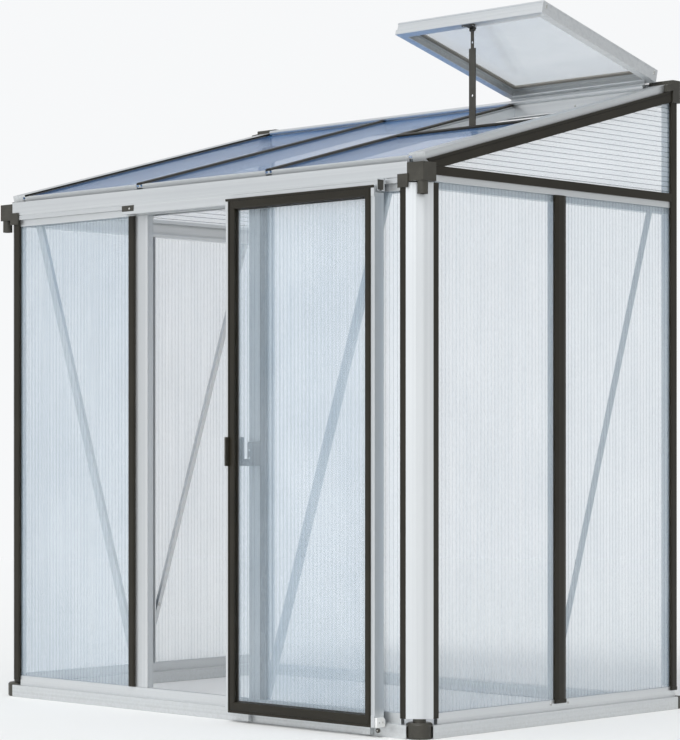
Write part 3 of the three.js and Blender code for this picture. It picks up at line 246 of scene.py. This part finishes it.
def edgedBronze(name, low, high, edge):   # bronze with a bare aluminium edge of this width on each side
    material, tree, shader = startMaterial(name)
    fillBronze(tree, shader)
    bare = tree.nodes.new("ShaderNodeBsdfPrincipled")
    fillAluminium(tree, bare, "Z")
    across = reach(tree, "X")
    fromLow = maths(tree, "SUBTRACT", across, low)
    fromHigh = maths(tree, "SUBTRACT", high, across)
    onEdge = maths(tree, "LESS_THAN", maths(tree, "MINIMUM", fromLow, fromHigh), edge)
    blended(tree, onEdge, shader, bare, "Material Output")
    return material


blackPlasticLook = {
    "colour": (0.031, 0.0285, 0.0215),
    "faded": (0.050, 0.0465, 0.036),
    "cloudScale": 22,
    "roughest": 0.46,
    "smoothest": 0.32,
    "grain": 0.0013,
    "bump": 0.00007,
    "bumpStrength": 0.7,
}
whitePlasticLook = dict(blackPlasticLook, colour=(0.78, 0.79, 0.79), faded=(0.66, 0.66, 0.63))


def mouldedPlastic(name, look):
    material, tree, shader = startMaterial(name)
    grain = noise(tree, placed(tree, [look["grain"]] * 3), detail=2, rough=0.5)
    cloud = noise(tree, placed(tree), look["cloudScale"])
    base = mixed(tree, mapped(tree, cloud, 0.4, 0.75, 0, 1), look["colour"], look["faded"])
    tree.links.new(base, shader.inputs["Base Color"])
    tree.links.new(spread(tree, grain, look), shader.inputs["Roughness"])
    bumped(tree, shader, grain, look)
    return material


twinWallLook = {
    "colour": (0.50, 0.60, 0.685),
    "milky": (0.61, 0.70, 0.775),
    "alpha": 0.105,
    "alphaSpread": 0.035,
    "roughness": 0.24,
    "waveSize": 0.016,
    "waveLong": 0.5,
    "bump": 0.00012,
    "bumpStrength": 0.4,
    "cloudScale": 3,
    "ior": 1.58,
    "ribPitch": 0.016,
    "ribLine": 0.0012,
    "ribAlpha": 0.17,
    "ribColour": (0.26, 0.31, 0.35),
}


# milky wall, slightly wavy, with dark lines for ribs where the height of the first is given
def twinWall(name, along, firstRib=None, look=twinWallLook):
    material, tree, shader = startMaterial(name)
    cloud = noise(tree, placed(tree), look["cloudScale"])
    base = mixed(tree, mapped(tree, cloud, 0.35, 0.7, 0, 1), look["colour"], look["milky"])
    size = stretched(along, look["waveSize"], look["waveLong"])
    wave = noise(tree, placed(tree, size), detail=3)
    alpha = mapped(tree, wave, 0.3, 0.7, look["alpha"], look["alpha"] + look["alphaSpread"])
    if firstRib is not None:
        away = maths(tree, "SUBTRACT", reach(tree, "Z"), firstRib)
        away = maths(tree, "PINGPONG", away, look["ribPitch"] / 2)
        line = maths(tree, "LESS_THAN", away, look["ribLine"])
        base = mixed(tree, line, base, look["ribColour"])
        alpha = maths(tree, "ADD", alpha, maths(tree, "MULTIPLY", line, look["ribAlpha"]))
    tree.links.new(base, shader.inputs["Base Color"])
    tree.links.new(alpha, shader.inputs["Alpha"])
    shader.inputs["Roughness"].default_value = look["roughness"]
    shader.inputs["IOR"].default_value = look["ior"]
    bumped(tree, shader, wave, look)
    return material


roofSheetLook = {
    "colour": (0.052, 0.185, 0.455),
    "pale": (0.115, 0.285, 0.565),
    "alpha": 0.45,
    "alphaSpread": 0.08,
    "roughness": 0.12,
    "specular": 0.16,
    "ior": 1.58,
    "cloudScale": 4,
    "waveScale": 18,
    "bump": 0.0008,
    "bumpStrength": 0.25,
}
ventSheetLook = dict(
    roofSheetLook,
    colour=(0.42, 0.55, 0.66),
    pale=(0.54, 0.65, 0.74),
    alpha=0.26,
    roughness=0.07,
    specular=0.5,
)


def clearSheet(name, look):
    material, tree, shader = startMaterial(name)
    cloud = noise(tree, placed(tree), look["cloudScale"])
    base = mixed(tree, mapped(tree, cloud, 0.35, 0.7, 0, 1), look["colour"], look["pale"])
    alpha = mapped(tree, cloud, 0.3, 0.7, look["alpha"], look["alpha"] + look["alphaSpread"])
    tree.links.new(base, shader.inputs["Base Color"])
    tree.links.new(alpha, shader.inputs["Alpha"])
    shader.inputs["Roughness"].default_value = look["roughness"]
    shader.inputs["Specular IOR Level"].default_value = look["specular"]
    shader.inputs["IOR"].default_value = look["ior"]
    bumped(tree, shader, noise(tree, placed(tree), look["waveScale"], detail=3, rough=0.5), look)
    return material


sealLook = {
    "colour": (0.035, 0.036, 0.038),
    "faded": (0.075, 0.072, 0.068),
    "smoothest": 0.6,
    "roughest": 0.85,
    "bristle": 0.0012,
    "bump": 0.0002,
    "bumpStrength": 0.8,
}
brushLook = dict(sealLook, colour=(0.22, 0.205, 0.18), faded=(0.40, 0.38, 0.34))


def rubberSeal(name, look):
    material, tree, shader = startMaterial(name)
    bristles = noise(tree, placed(tree, [look["bristle"]] * 3), rough=0.7)
    base = mixed(tree, mapped(tree, bristles, 0.35, 0.7, 0, 1), look["colour"], look["faded"])
    tree.links.new(base, shader.inputs["Base Color"])
    tree.links.new(spread(tree, bristles, look), shader.inputs["Roughness"])
    bumped(tree, shader, bristles, look)
    return material


screwSteelLook = {
    "bright": (0.62, 0.62, 0.60),
    "dull": (0.42, 0.42, 0.41),
    "smoothest": 0.24,
    "roughest": 0.40,
    "grainScale": 900,
    "bump": 0.00003,
    "bumpStrength": 0.5,
}


def screwSteel(name, look=screwSteelLook):
    material, tree, shader = startMaterial(name)
    grain = noise(tree, placed(tree), look["grainScale"], detail=3)
    base = mixed(tree, mapped(tree, grain, 0.35, 0.7, 0, 1), look["bright"], look["dull"])
    tree.links.new(base, shader.inputs["Base Color"])
    tree.links.new(spread(tree, grain, look), shader.inputs["Roughness"])
    shader.inputs["Metallic"].default_value = 1
    bumped(tree, shader, grain, look)
    return material


# the door's cap, whose bare edge is in a finish too, and the track's black end stops, whose black is
# partly painted shade in the track's open ends
doorLook = {"edge": 0.012, "edgeSet": 0.003, "cap": 0.018, "plugInset": 0.003, "plug": 0.006}
pitchTurn = (roofPlane["pitch"], 0, 0)
silverX = aluminium("aluminium_along_x", "X")
silverY = aluminium("aluminium_along_y", "Y")
silverZ = aluminium("aluminium_upright", "Z")
silverRoof = aluminium("aluminium_down_the_roof", "Y", pitchTurn)
bronze = bronzePaint("bronze_powder_coat")
edgedBronzeDoor = edgedBronze("bronze_with_bare_edges", doorLow.x, doorHigh.x, doorLook["edge"])
blackPlastic = mouldedPlastic("black_plastic", blackPlasticLook)
whitePlastic = mouldedPlastic("white_plastic", whitePlasticLook)
wallSheetZ = twinWall("twin_wall_upright", "Z")
wallSheetY = twinWall("twin_wall_level", "Y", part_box("gable_panel_right")[0].z)
roofSheet = clearSheet("roof_sheet", roofSheetLook)
ventSheet = clearSheet("vent_pane_sheet", ventSheetLook)
darkSeal = rubberSeal("rubber_seal", sealLook)
brushSeal = rubberSeal("brush_seal", brushLook)
steel = screwSteel("screw_steel")
print("finishes made")


# solids that keep their own shape, with edges rounded to these widths
edgeLook = {"bar": 0.0005, "moulded": 0.0012, "outlet": 0.0015, "ridgeCap": 0.002, "small": 0.0006,
            "weld": 0.00002, "angle": math.radians(35), "segments": 2, "pieceSegments": 3}


def roundEdges(thing, width, segments):
    rounding = thing.modifiers.new("rounding", "BEVEL")
    rounding.width = width
    rounding.segments = segments
    rounding.angle_limit = edgeLook["angle"]


def dress(name, main, other=None, isOther=None, edge="bar", smooth=False):
    node = nodes[name]
    node.data.materials.clear()
    node.data.materials.append(main)
    if other:
        node.data.materials.append(other)
        for polygon in node.data.polygons:
            polygon.material_index = int(bool(isOther(polygon.center)))
    if edge:
        weld = node.modifiers.new("weld", "WELD")
        weld.merge_threshold = edgeLook["weld"]
        roundEdges(node, edgeLook[edge], edgeLook["segments"])
    if smooth:
        for polygon in node.data.polygons:
            polygon.use_smooth = True
        node.modifiers.new("even shading", "WEIGHTED_NORMAL")


# how far the dark strips and caps reach in from outside, and the height from which the side rails are dark
stripLook = {"thick": 0.012, "cornerCut": 0.0575, "roofCap": 0.008, "railCapLow": 1.656}


def nearFront(c):
    return c.y < frontFace + stripLook["thick"] - tiny


def nearSide(c):
    return abs(c.x) > sideFace - stripLook["thick"] + tiny


def onCornerStrip(c):
    cut = stripLook["cornerCut"]
    onFront = nearFront(c) and abs(c.x) < sideFace - cut + tiny
    return onFront or (nearSide(c) and c.y > frontFace + cut - tiny)


def onRoofCap(c):
    return roofDrop(c) < stripLook["roofCap"] + tiny


def onRailCap(c):
    return nearSide(c) and c.z > stripLook["railCapLow"] - tiny


def onRakeBar(c):   # the bar outside, and the dark lip along the pane
    lip = abs(c.x) < rakeBarInner + tiny and roofDrop(c) < stripLook["roofCap"]
    return lip or nearSide(c)


def onDoorCap(c):   # the dark cap with its return, and the plates at its corners
    behind = c.y - doorLow.y
    across = min(c.x - doorLow.x, doorHigh.x - c.x)
    beyondEdge = across > doorLook["edge"] - tiny
    return behind < doorLook["cap"] + tiny and (beyondEdge or behind < doorLook["edgeSet"] - tiny)


# black plastic end stops just inside the track's ends: real stops, and their black is partly painted shade
# of the track's open ends
def onTrackStopAndPaintedShade(c):
    inset = min(c.x - trackLow.x, trackHigh.x - c.x) - doorLook["plugInset"]
    return -tiny < inset < doorLook["plug"] + tiny


for name, side in sides:
    dress(f"corner_post_{name}", silverZ, bronze, onCornerStrip)
    dress(f"door_jamb_{name}", silverZ, bronze, nearFront)
    dress(f"side_bar_{name}", silverZ, bronze, nearSide)
    dress(f"wall_post_{name}", silverZ, bronze, nearSide)
    dress(f"side_rail_{name}", silverY, bronze, onRailCap)
    dress(f"rafter_{name}", silverRoof, bronze, onRakeBar)
    dress(f"rafter_mid_{name}", silverRoof, bronze, onRoofCap)
    dress(f"base_{name}", silverY)
    dress(f"base_end_{name}", blackPlastic, edge="moulded")
    dress(f"foot_front_{name}", blackPlastic, edge="moulded", smooth=True)
    dress(f"gutter_outlet_{name}", blackPlastic, edge="outlet", smooth=True)
    dress(f"ridge_cap_{name}", blackPlastic, edge="ridgeCap")
    dress(f"brace_front_{name}", silverZ)
    dress(f"brace_side_{name}", silverZ)
    dress(f"door_stile_{name}", silverZ, edgedBronzeDoor, onDoorCap)
    dress(f"door_hanger_{name}", silverX)
    dress(f"door_roller_{name}", whitePlastic, smooth=True)
    dress(f"front_panel_{name}", wallSheetZ, edge=None)
    dress(f"side_panel_{name}_front", wallSheetZ, edge=None)
    dress(f"side_panel_{name}_rear", wallSheetZ, edge=None)
    dress(f"gable_panel_{name}", wallSheetY, edge=None)
    dress(f"roof_panel_{name}", roofSheet, edge=None)
dress("roof_panel_mid", roofSheet, edge=None)
dress("door_panel", wallSheetZ, edge=None)
dress("vent_pane", ventSheet, edge=None)
for name in ("base_front", "base_rear", "front_header", "gutter", "ridge_rail", "vent_frame"):
    dress(name, silverX)
# the track's end stops are black, partly as painted shade in its open ends
dress("door_track", silverX, blackPlastic, onTrackStopAndPaintedShade)
dress("vent_sill", silverX, bronze, onRoofCap)
dress("door_top_rail", silverX, bronze, onDoorCap)
dress("door_bottom_rail", silverX, bronze, onDoorCap)
dress("door_handle", blackPlastic, edge="moulded")
dress("vent_bracket", blackPlastic, edge="small")
dress("vent_stay", blackPlastic, edge="small")
print("solids dressed")


# shapes that the small pieces are built from
def finishPiece(name, shape, material, body, edge=0):
    mesh = bpy.data.meshes.new(name)
    bmesh.ops.recalc_face_normals(shape, faces=shape.faces[:])
    shape.to_mesh(mesh)
    shape.free()
    mesh.materials.append(material)
    piece = bpy.data.objects.new(name, mesh)
    bpy.context.scene.collection.objects.link(piece)
    if edge:
        roundEdges(piece, edge, edgeLook["pieceSegments"])
    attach(piece, body)


def addBar(shape, outline, start, end, place=Matrix()):   # outline in Y and Z, drawn along X
    ends = [[shape.verts.new(place @ Vector((x, y, z))) for y, z in outline] for x in (start, end)]
    for k in range(len(outline)):
        near = (k + 1) % len(outline)
        shape.faces.new((ends[0][k], ends[0][near], ends[1][near], ends[1][k]))
    shape.faces.new(ends[0])
    shape.faces.new(reversed(ends[1]))


# for a bar along Y, with its outline's first value along -X
alongDepth = Matrix.Rotation(math.pi / 2, 4, "Z")


def addRing(shape, low, high, width, near, far, place):   # flat frame, from near to far along Z
    outer = [(low[0], low[1]), (high[0], low[1]), (high[0], high[1]), (low[0], high[1])]
    inner = [(low[0] + width, low[1] + width), (high[0] - width, low[1] + width),
             (high[0] - width, high[1] - width), (low[0] + width, high[1] - width)]
    loops = []
    for outline, level in ((outer, near), (outer, far), (inner, far), (inner, near)):
        loops.append([shape.verts.new(place @ Vector((x, y, level))) for x, y in outline])
    for k in range(4):
        first, second = loops[k], loops[(k + 1) % 4]
        for corner in range(4):
            after = (corner + 1) % 4
            shape.faces.new((first[corner], first[after], second[after], second[corner]))


def addSweep(shape, outline, path, place):   # outline in outward and Z, round a path of square corners
    rings = []
    for k, spot in enumerate(path):
        before = (spot - path[k - 1]).normalized() if k else None
        after = (path[k + 1] - spot).normalized() if k + 1 < len(path) else None
        outward = Vector((0, 0, 0))
        for run in (before, after):
            if run:
                outward += Vector((run.y, -run.x, 0))
        points = [spot + outward * out + Vector((0, 0, z)) for out, z in outline]
        rings.append([shape.verts.new(place @ point) for point in points])
    for first, second in zip(rings, rings[1:]):
        for k in range(len(outline)):
            after = (k + 1) % len(outline)
            shape.faces.new((first[k], first[after], second[after], second[k]))
    shape.faces.new(rings[0])
    shape.faces.new(reversed(rings[-1]))


def addTurned(shape, profile, count, place):   # rings about Z, each with its radius, height and lobes
    rings = []
    for radius, height, lobes in profile:
        ring = []
        for k in range(count):
            angle = 2 * math.pi * k / count
            out = radius * (1 - lobes * (0.5 - 0.5 * math.cos(4 * angle)))
            point = Vector((out * math.cos(angle), out * math.sin(angle), height))
            ring.append(shape.verts.new(place @ point))
        rings.append(ring)
    for first, second in zip(rings, rings[1:]):
        for k in range(count):
            after = (k + 1) % count
            shape.faces.new((first[k], first[after], second[after], second[k])).smooth = True
    shape.faces.new(reversed(rings[0]))
    shape.faces.new(rings[-1])


def facing(point, normal):   # a place on a surface, with Z out of it
    return Matrix.Translation(point) @ Vector(normal).to_track_quat("Z", "Y").to_matrix().to_4x4()


# the dome's points are shares of radius and rise
screwLook = {
    "radius": 0.0038,
    "rise": 0.0024,
    "sides": 24,
    "dome": ((0.97, 0), (1, 0.12), (1, 0.40), (0.93, 0.68), (0.80, 0.88), (0.62, 1)),
    "recess": 0.50,
    "recessFoot": 0.8,
    "recessDeep": 0.55,
    "lobes": 0.55,
    "lift": 0.00003,
}


def makeScrews(name, points, normal, body, look=screwLook):   # pan heads with a cross recess
    shape = bmesh.new()
    radius, rise = look["radius"], look["rise"]
    recess, lobes = radius * look["recess"], look["lobes"]
    profile = [(radius * out, rise * up, 0) for out, up in look["dome"]]
    profile.append((recess, rise, lobes))
    profile.append((recess * look["recessFoot"], rise * (1 - look["recessDeep"]), lobes))
    for point in points:
        spot = facing(Vector(point) + Vector(normal) * look["lift"], normal)
        addTurned(shape, profile, look["sides"], spot)
    finishPiece(name, shape, steel, body)


boltLook = {"across": 0.010, "head": 0.0045, "chamferFrom": 0.85, "chamferIn": 0.86, "washer": 0.0075,
            "washerThick": 0.0012, "washerSides": 32, "lift": 0.00003}


def makeBolts(name, points, normal, body, look=boltLook):   # hexagon heads on round washers
    shape = bmesh.new()
    thick, start = look["washerThick"], look["washerThick"] + look["lift"]
    washer = [(look["washer"], 0, 0), (look["washer"], thick, 0)]
    half = look["across"] / 2 / math.cos(math.pi / 6)
    head = [(half, start, 0), (half, start + look["head"] * look["chamferFrom"], 0),
            (half * look["chamferIn"], start + look["head"], 0)]
    for point in points:
        spot = facing(Vector(point) + Vector(normal) * look["lift"], normal)
        addTurned(shape, washer, look["washerSides"], spot)
        addTurned(shape, head, 6, spot)
    for face in shape.faces:
        face.smooth = False
    finishPiece(name, shape, steel, body)


# screws in the base's sill, beside the side bars
sillLook = {"inset": 0.012, "height": 0.060, "besideBar": 0.042}
for name, side in sides:
    face = side * (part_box("base_right")[1].x - sillLook["inset"])
    points = [(face, sideBarY + way * sillLook["besideBar"], sillLook["height"]) for way in (-1, 1)]
    makeScrews(f"sill_screws_{name}", points, (side, 0, 0), "frame")

# dark tips of the side bars and wall posts, down over the base's sill
tipLook = {"gap": 0.0003, "low": 0.061, "nose": 0.0025, "postWide": 0.029, "edge": 0.0008}
for name, side in sides:
    for bar in ("side_bar", "wall_post"):
        low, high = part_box(f"{bar}_{name}")
        far = high.y if bar == "side_bar" else low.y + tipLook["postWide"]
        outer = max(abs(low.x), abs(high.x))
        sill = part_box("base_right")[1].x - sillLook["inset"] + tipLook["gap"]
        foot, top, nose = tipLook["low"], low.z - tipLook["gap"], tipLook["nose"]
        corners = [(sill, foot), (outer - nose, foot), (outer, foot + nose), (outer, top), (sill, top)]
        shape = bmesh.new()
        addBar(shape, [(-side * out, up) for out, up in corners], low.y, far, alongDepth)
        finishPiece(f"{bar}_tip_{name}", shape, bronze, "frame", tipLook["edge"])

# dark plate on the track's left end, and the screws of the track and the ridge rail
trackLook = {"endInset": 0.018, "height": 0.0165, "plateInset": 0.001, "plateLong": 0.057,
             "plateLow": 0.0095, "plateHigh": 0.0285, "plateThick": 0.0013, "slope": 0.0006, "gap": 0.0001,
             "edge": 0.0003, "screw": 0.039}
back, slope = trackLow.y - trackLook["gap"], trackLook["slope"]
front = back - trackLook["plateThick"]
low, high = trackLow.z + trackLook["plateLow"], trackLow.z + trackLook["plateHigh"]
start = trackLow.x + trackLook["plateInset"]
outline = [(back, low), (front, low + slope), (front, high - slope), (back, high)]
shape = bmesh.new()
addBar(shape, outline, start, start + trackLook["plateLong"])
finishPiece("track_end_plate", shape, blackPlastic, "frame", trackLook["edge"])
height = trackLow.z + trackLook["height"]
points = [(trackLow.x + trackLook["screw"], front, height + 2 * slope),
          (trackHigh.x - trackLook["endInset"], trackLow.y, height)]
makeScrews("track_screws", points, (0, -1, 0), "frame")
ridgeLook = {"height": 2.004, "depth": 0.057, "spacing": 0.29, "first": -0.87, "screws": 7}
behind = wallFace - ridgeLook["depth"]
points = [(ridgeLook["first"] + k * ridgeLook["spacing"], behind, ridgeLook["height"])
          for k in range(ridgeLook["screws"])]
makeScrews("ridge_screws", points, (0, -1, 0), "frame")

# bolts near both ends of the braces, by their heights on the brace's middle line from foot to top
braceLook = {
    "thick": 0.0025,
    "front": {"foot": (0.301, 0.095), "top": (0.813, 1.623), "bolts": (0.125, 1.590)},
    "side": {"foot": (0.0845, 0.255), "top": (0.5205, 1.591), "bolts": (0.285, 1.570)},
}


def boltPlaces(line):   # along the wall, and up
    foot, top = line["foot"], line["top"]
    places = []
    for height in line["bolts"]:
        share = (height - foot[1]) / (top[1] - foot[1])
        places.append((foot[0] + share * (top[0] - foot[0]), height))
    return places


for name, side in sides:
    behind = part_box(f"brace_front_{name}")[0].y + braceLook["thick"]
    points = [(side * x, behind, z) for x, z in boltPlaces(braceLook["front"])]
    makeBolts(f"front_brace_bolts_{name}", points, (0, 1, 0), "frame")
    low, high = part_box(f"brace_side_{name}")
    face = side * (max(abs(low.x), abs(high.x)) - braceLook["thick"])
    points = [(face, y, z) for y, z in boltPlaces(braceLook["side"])]
    makeBolts(f"side_brace_bolts_{name}", points, (-side, 0, 0), "frame")

# strips that close the roof sheets' lower ends, between the roof bars
eaveLook = {"sheetTop": -0.0083, "sheetLow": -0.0143, "wall": 0.0013, "play": 0.0004, "lap": 0.012,
            "apron": -0.026, "edge": 0.0003}
eaveSpans = {"left": (-0.8935, -0.3165), "mid": (-0.2885, 0.2885), "right": (0.3165, 0.8935)}
wall, play, lap, apron = (eaveLook[key] for key in ("wall", "play", "lap", "apron"))
top, low = eaveLook["sheetTop"] + play, eaveLook["sheetLow"] - play
outline = [(-play - wall, apron), (-play, apron), (-play, low - wall), (lap, low - wall), (lap, low),
           (-play, low), (-play, top), (lap, top), (lap, top + wall), (-play - wall, top + wall)]
for name, (start, end) in eaveSpans.items():
    shape = bmesh.new()
    addBar(shape, outline, start, end, roofPlace)
    finishPiece(f"eave_strip_{name}", shape, silverX, "frame", eaveLook["edge"])

# gaskets between the roof sheets and the roof bars' caps, each end given by what it runs up to
gasketLook = {"clear": 0.0001, "wide": 0.0032, "rise": 0.0027, "nose": 0.0012, "start": 0.014,
              "beside": 0.0004}
gasketEnds = {"left": "ridge_rail", "mid": "ridge_rail", "right": "vent_sill"}
wide, rise, nose = gasketLook["wide"], gasketLook["rise"], gasketLook["nose"]
corners = [(0, 0), (wide, 0), (wide, nose), (nose, rise), (0, rise)]
for name, stop in gasketEnds.items():
    length = (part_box(stop)[0].y - roofPlace.translation.y) / math.cos(roofPlane["pitch"]) - wide
    start, end = eaveSpans[name]
    foot = eaveLook["sheetTop"] + gasketLook["clear"]
    shape = bmesh.new()
    for edge, inward in ((start - gasketLook["beside"], 1), (end + gasketLook["beside"], -1)):
        outline = [(-edge - inward * out, foot + up) for out, up in corners]
        addBar(shape, outline, gasketLook["start"], length, roofPlace @ alongDepth)
    finishPiece(f"roof_gasket_{name}", shape, darkSeal, "frame")

# vent: seal below the pane, rails round the frame, screws at its corners and in the bracket
ventLook = {"half": 0.307, "front": -0.604, "rear": 0.003, "rim": 0.0243, "sealWidth": 0.016,
            "sealLow": 0.0405, "sealHigh": 0.0456, "sealEdge": 0.0003, "screwInset": 0.017,
            "screwHeights": (0.0355, 0.0425), "bracketScrew": (0.0195, -0.5962, 0.0087)}
rim = ventLook["rim"]
half, front, rear = ventLook["half"], ventLook["front"], ventLook["rear"]
shape = bmesh.new()
addRing(shape, (-half + rim, front + rim), (half - rim, rear - rim),
        ventLook["sealWidth"], ventLook["sealLow"], ventLook["sealHigh"], ventPlace)
finishPiece("vent_seal", shape, brushSeal, "vent", ventLook["sealEdge"])
ventRailLook = {
    "skirt": (0.0122, 0.0290, 0.0030),   # low, high, out
    "lip": (0.0482, 0.0520, 0.0013),
    "slope": 0.6,
    "rearGap": 0.030,
    "play": 0.0001,
    "edge": 0.0003,
}
ends = rear - ventRailLook["rearGap"]
path = [Vector((x, y, 0)) for x, y in ((-half, ends), (-half, front), (half, front), (half, ends))]
play = ventRailLook["play"]
for name in ("skirt", "lip"):
    low, high, out = ventRailLook[name]
    shoulder = out * ventRailLook["slope"]
    outline = [(play, low), (out, low), (out, high - out / 2), (shoulder, high), (play, high)]
    shape = bmesh.new()
    addSweep(shape, outline, path, ventPlace)
    finishPiece(f"vent_{name}", shape, silverX, "vent", ventRailLook["edge"])
for name, side in sides:
    points = [ventPlace @ Vector((side * half, y, z))
              for y in (front + ventLook["screwInset"], rear - ventLook["screwInset"])
              for z in ventLook["screwHeights"]]
    makeScrews(f"vent_corner_screws_{name}", points, (side, 0, 0), "vent")
x, y, z = ventLook["bracketScrew"]
points = [ventPlace @ Vector((way * x, y, z)) for way in (-1, 1)]
smallScrew = dict(screwLook, radius=0.0026, rise=0.0016)
downwards = ventPlace.to_3x3() @ Vector((0, 0, -1))
makeScrews("bracket_screws", points, downwards, "vent", smallScrew)

# door: lip seal round the sheet, and a white guide on the right edge, with its wheel's tread as shares
doorSealLook = {"side": 0.0394, "low": 0.0344, "high": 0.0334, "width": 0.0035, "gap": 0.0001,
                "thick": 0.0021, "depth": 0.0183, "edge": 0.0005}
shape = bmesh.new()
place = Matrix.Translation((0, doorLow.y + doorSealLook["depth"], 0))
place = place @ Matrix.Rotation(math.pi / 2, 4, "X")
addRing(shape, (doorLow.x + doorSealLook["side"], doorLow.z + doorSealLook["low"]),
        (doorHigh.x - doorSealLook["side"], doorHigh.z - doorSealLook["high"]),
        doorSealLook["width"], doorSealLook["gap"], doorSealLook["thick"], place)
finishPiece("door_seal", shape, darkSeal, "door", doorSealLook["edge"])

guideLook = {"gap": 0.0003, "thick": 0.008, "front": 0.004, "back": 0.041, "low": 0.030, "high": 0.059,
             "slope": 0.007, "edge": 0.0012, "screwFront": 0.015, "screwBack": 0.029, "wheel": 0.007,
             "wheelWide": 0.007, "wheelFront": 0.010, "wheelSides": 32, "drop": 0.0085,
             "tread": ((0.35, 0), (0.9, 0), (1, 0.1), (1, 0.4), (0.86, 0.5), (1, 0.6), (1, 0.9),
                       (0.9, 1), (0.35, 1))}
near = doorHigh.x + guideLook["gap"]
far = near + guideLook["thick"]
front, back = doorLow.y + guideLook["front"], doorLow.y + guideLook["back"]
low, high, slope = guideLook["low"], guideLook["high"], guideLook["slope"]
outline = [(front, low), (back, low), (back, high - slope), (back - slope, high), (front, high)]
shape = bmesh.new()
addBar(shape, outline, near, far)
finishPiece("door_guide_block", shape, whitePlastic, "door", guideLook["edge"])
points = [(far, doorLow.y + guideLook[way], (low + high) / 2) for way in ("screwFront", "screwBack")]
makeScrews("door_guide_screws", points, (1, 0, 0), "door", smallScrew)
radius, wide = guideLook["wheel"], guideLook["wheelWide"]
hub = Vector(((near + far) / 2, doorLow.y + guideLook["wheelFront"], low - guideLook["drop"]))
tread = [(radius * out, wide * up, 0) for out, up in guideLook["tread"]]
shape = bmesh.new()
addTurned(shape, tread, guideLook["wheelSides"], facing(hub + Vector((0, wide, 0)), (0, -1, 0)))
finishPiece("door_guide_wheel", shape, blackPlastic, "door")
makeScrews("door_guide_axle", [hub], (0, -1, 0), "door", smallScrew)
print("small pieces made")

# floor, light and camera
stageLook = {
    "floor": (0.80, 0.80, 0.79),
    "paler": 1.02,
    "cloudScale": 2,
    "roughness": 0.8,
    "background": (0.93, 0.94, 0.95),
    "radius": 60.0,
    "sides": 96,
    "drop": 0.0005,
    "fadeFrom": 3.5,
    "fadeTo": 11.0,
    "sky": (0.96, 0.98, 1.0),
    "skyDark": 0.46,
    "skyBright": 0.82,
    "boxGlow": 0.95,
    "boxTight": 6,
    "brightFrom": (0.16, -0.86, 0.48),
    "sun": 1.45,
    "sunAngle": 24.0,
    "sunFrom": (38.0, 0.0, 22.0),
}


def backgroundSwitch(tree):   # 1 for rays that see the background straight on or through a sheet
    path = tree.nodes.new("ShaderNodeLightPath")
    return maths(tree, "MAXIMUM", path.outputs["Is Camera Ray"], path.outputs["Is Transmission Ray"])


def makeFloor(look=stageLook):
    mesh = bpy.data.meshes.new("floor")
    shape = bmesh.new()
    bmesh.ops.create_circle(shape, cap_ends=True, segments=look["sides"], radius=look["radius"])
    shape.to_mesh(mesh)
    shape.free()
    floor = bpy.data.objects.new("floor", mesh)
    floor.location.z = cadLow.z - look["drop"]
    bpy.context.scene.collection.objects.link(floor)
    material, tree, shader = startMaterial("studio_floor")
    cloud = noise(tree, placed(tree), look["cloudScale"], rough=0.5)
    pale = tuple(value * look["paler"] for value in look["floor"])
    tree.links.new(mixed(tree, cloud, look["floor"], pale), shader.inputs["Base Color"])
    shader.inputs["Roughness"].default_value = look["roughness"]
    away = tree.nodes.new("ShaderNodeVectorMath")
    away.operation = "LENGTH"
    tree.links.new(placed(tree), away.inputs[0])
    fade = mapped(tree, away.outputs["Value"], look["fadeFrom"], look["fadeTo"], 0, 1)
    fade = maths(tree, "MULTIPLY", fade, backgroundSwitch(tree))
    glow = tree.nodes.new("ShaderNodeEmission")
    glow.inputs["Color"].default_value = (*look["background"], 1)
    blended(tree, fade, shader, glow, "Material Output")
    mesh.materials.append(material)


def makeLight(look=stageLook):   # a soft sky with a broad bright patch at the front, and one soft sun
    world = bpy.data.worlds.new("studio")
    bpy.context.scene.world = world
    world.use_nodes = True
    tree = world.node_tree
    coords = tree.nodes.new("ShaderNodeTexCoord")
    towards = tree.nodes.new("ShaderNodeVectorMath")
    towards.operation = "DOT_PRODUCT"
    tree.links.new(coords.outputs["Generated"], towards.inputs[0])
    towards.inputs[1].default_value = Vector(look["brightFrom"]).normalized()
    plain = tree.nodes["Background"]
    plain.inputs["Color"].default_value = (*look["sky"], 1)
    level = mapped(tree, towards.outputs["Value"], -1, 1, look["skyDark"], look["skyBright"])
    patch = maths(tree, "POWER", maths(tree, "MAXIMUM", towards.outputs["Value"], 0), look["boxTight"])
    level = maths(tree, "ADD", level, maths(tree, "MULTIPLY", patch, look["boxGlow"]))
    tree.links.new(level, plain.inputs["Strength"])
    seen = tree.nodes.new("ShaderNodeBackground")
    seen.inputs["Color"].default_value = (*look["background"], 1)
    blended(tree, backgroundSwitch(tree), plain, seen, "World Output")
    lamp = bpy.data.lights.new("soft_sun", "SUN")
    lamp.energy = look["sun"]
    lamp.angle = math.radians(look["sunAngle"])
    sun = bpy.data.objects.new("soft_sun", lamp)
    sun.rotation_euler = [math.radians(value) for value in look["sunFrom"]]
    bpy.context.scene.collection.objects.link(sun)


cameraLook = {"place": (5.9349, -6.0740, 0.8572), "azimuth": 44.027, "lens": 123.2, "sensor": 36,
              "shiftY": 0.1036, "seesTo": 200}


def makeCamera(look=cameraLook):
    lens = bpy.data.cameras.new("camera")
    lens.sensor_width = look["sensor"]
    lens.lens = look["lens"]
    lens.shift_y = look["shiftY"]
    lens.clip_end = look["seesTo"]
    camera = bpy.data.objects.new("camera", lens)
    camera.location = look["place"]
    camera.rotation_euler = (math.radians(90), 0, math.radians(look["azimuth"]))
    bpy.context.scene.collection.objects.link(camera)
    bpy.context.scene.camera = camera


makeFloor()
makeLight()
makeCamera()
bpy.context.scene.view_settings.view_transform = "Standard"
bpy.context.scene.cycles.transparent_max_bounces = 64   # many clear walls lie behind each other
print("stage made")
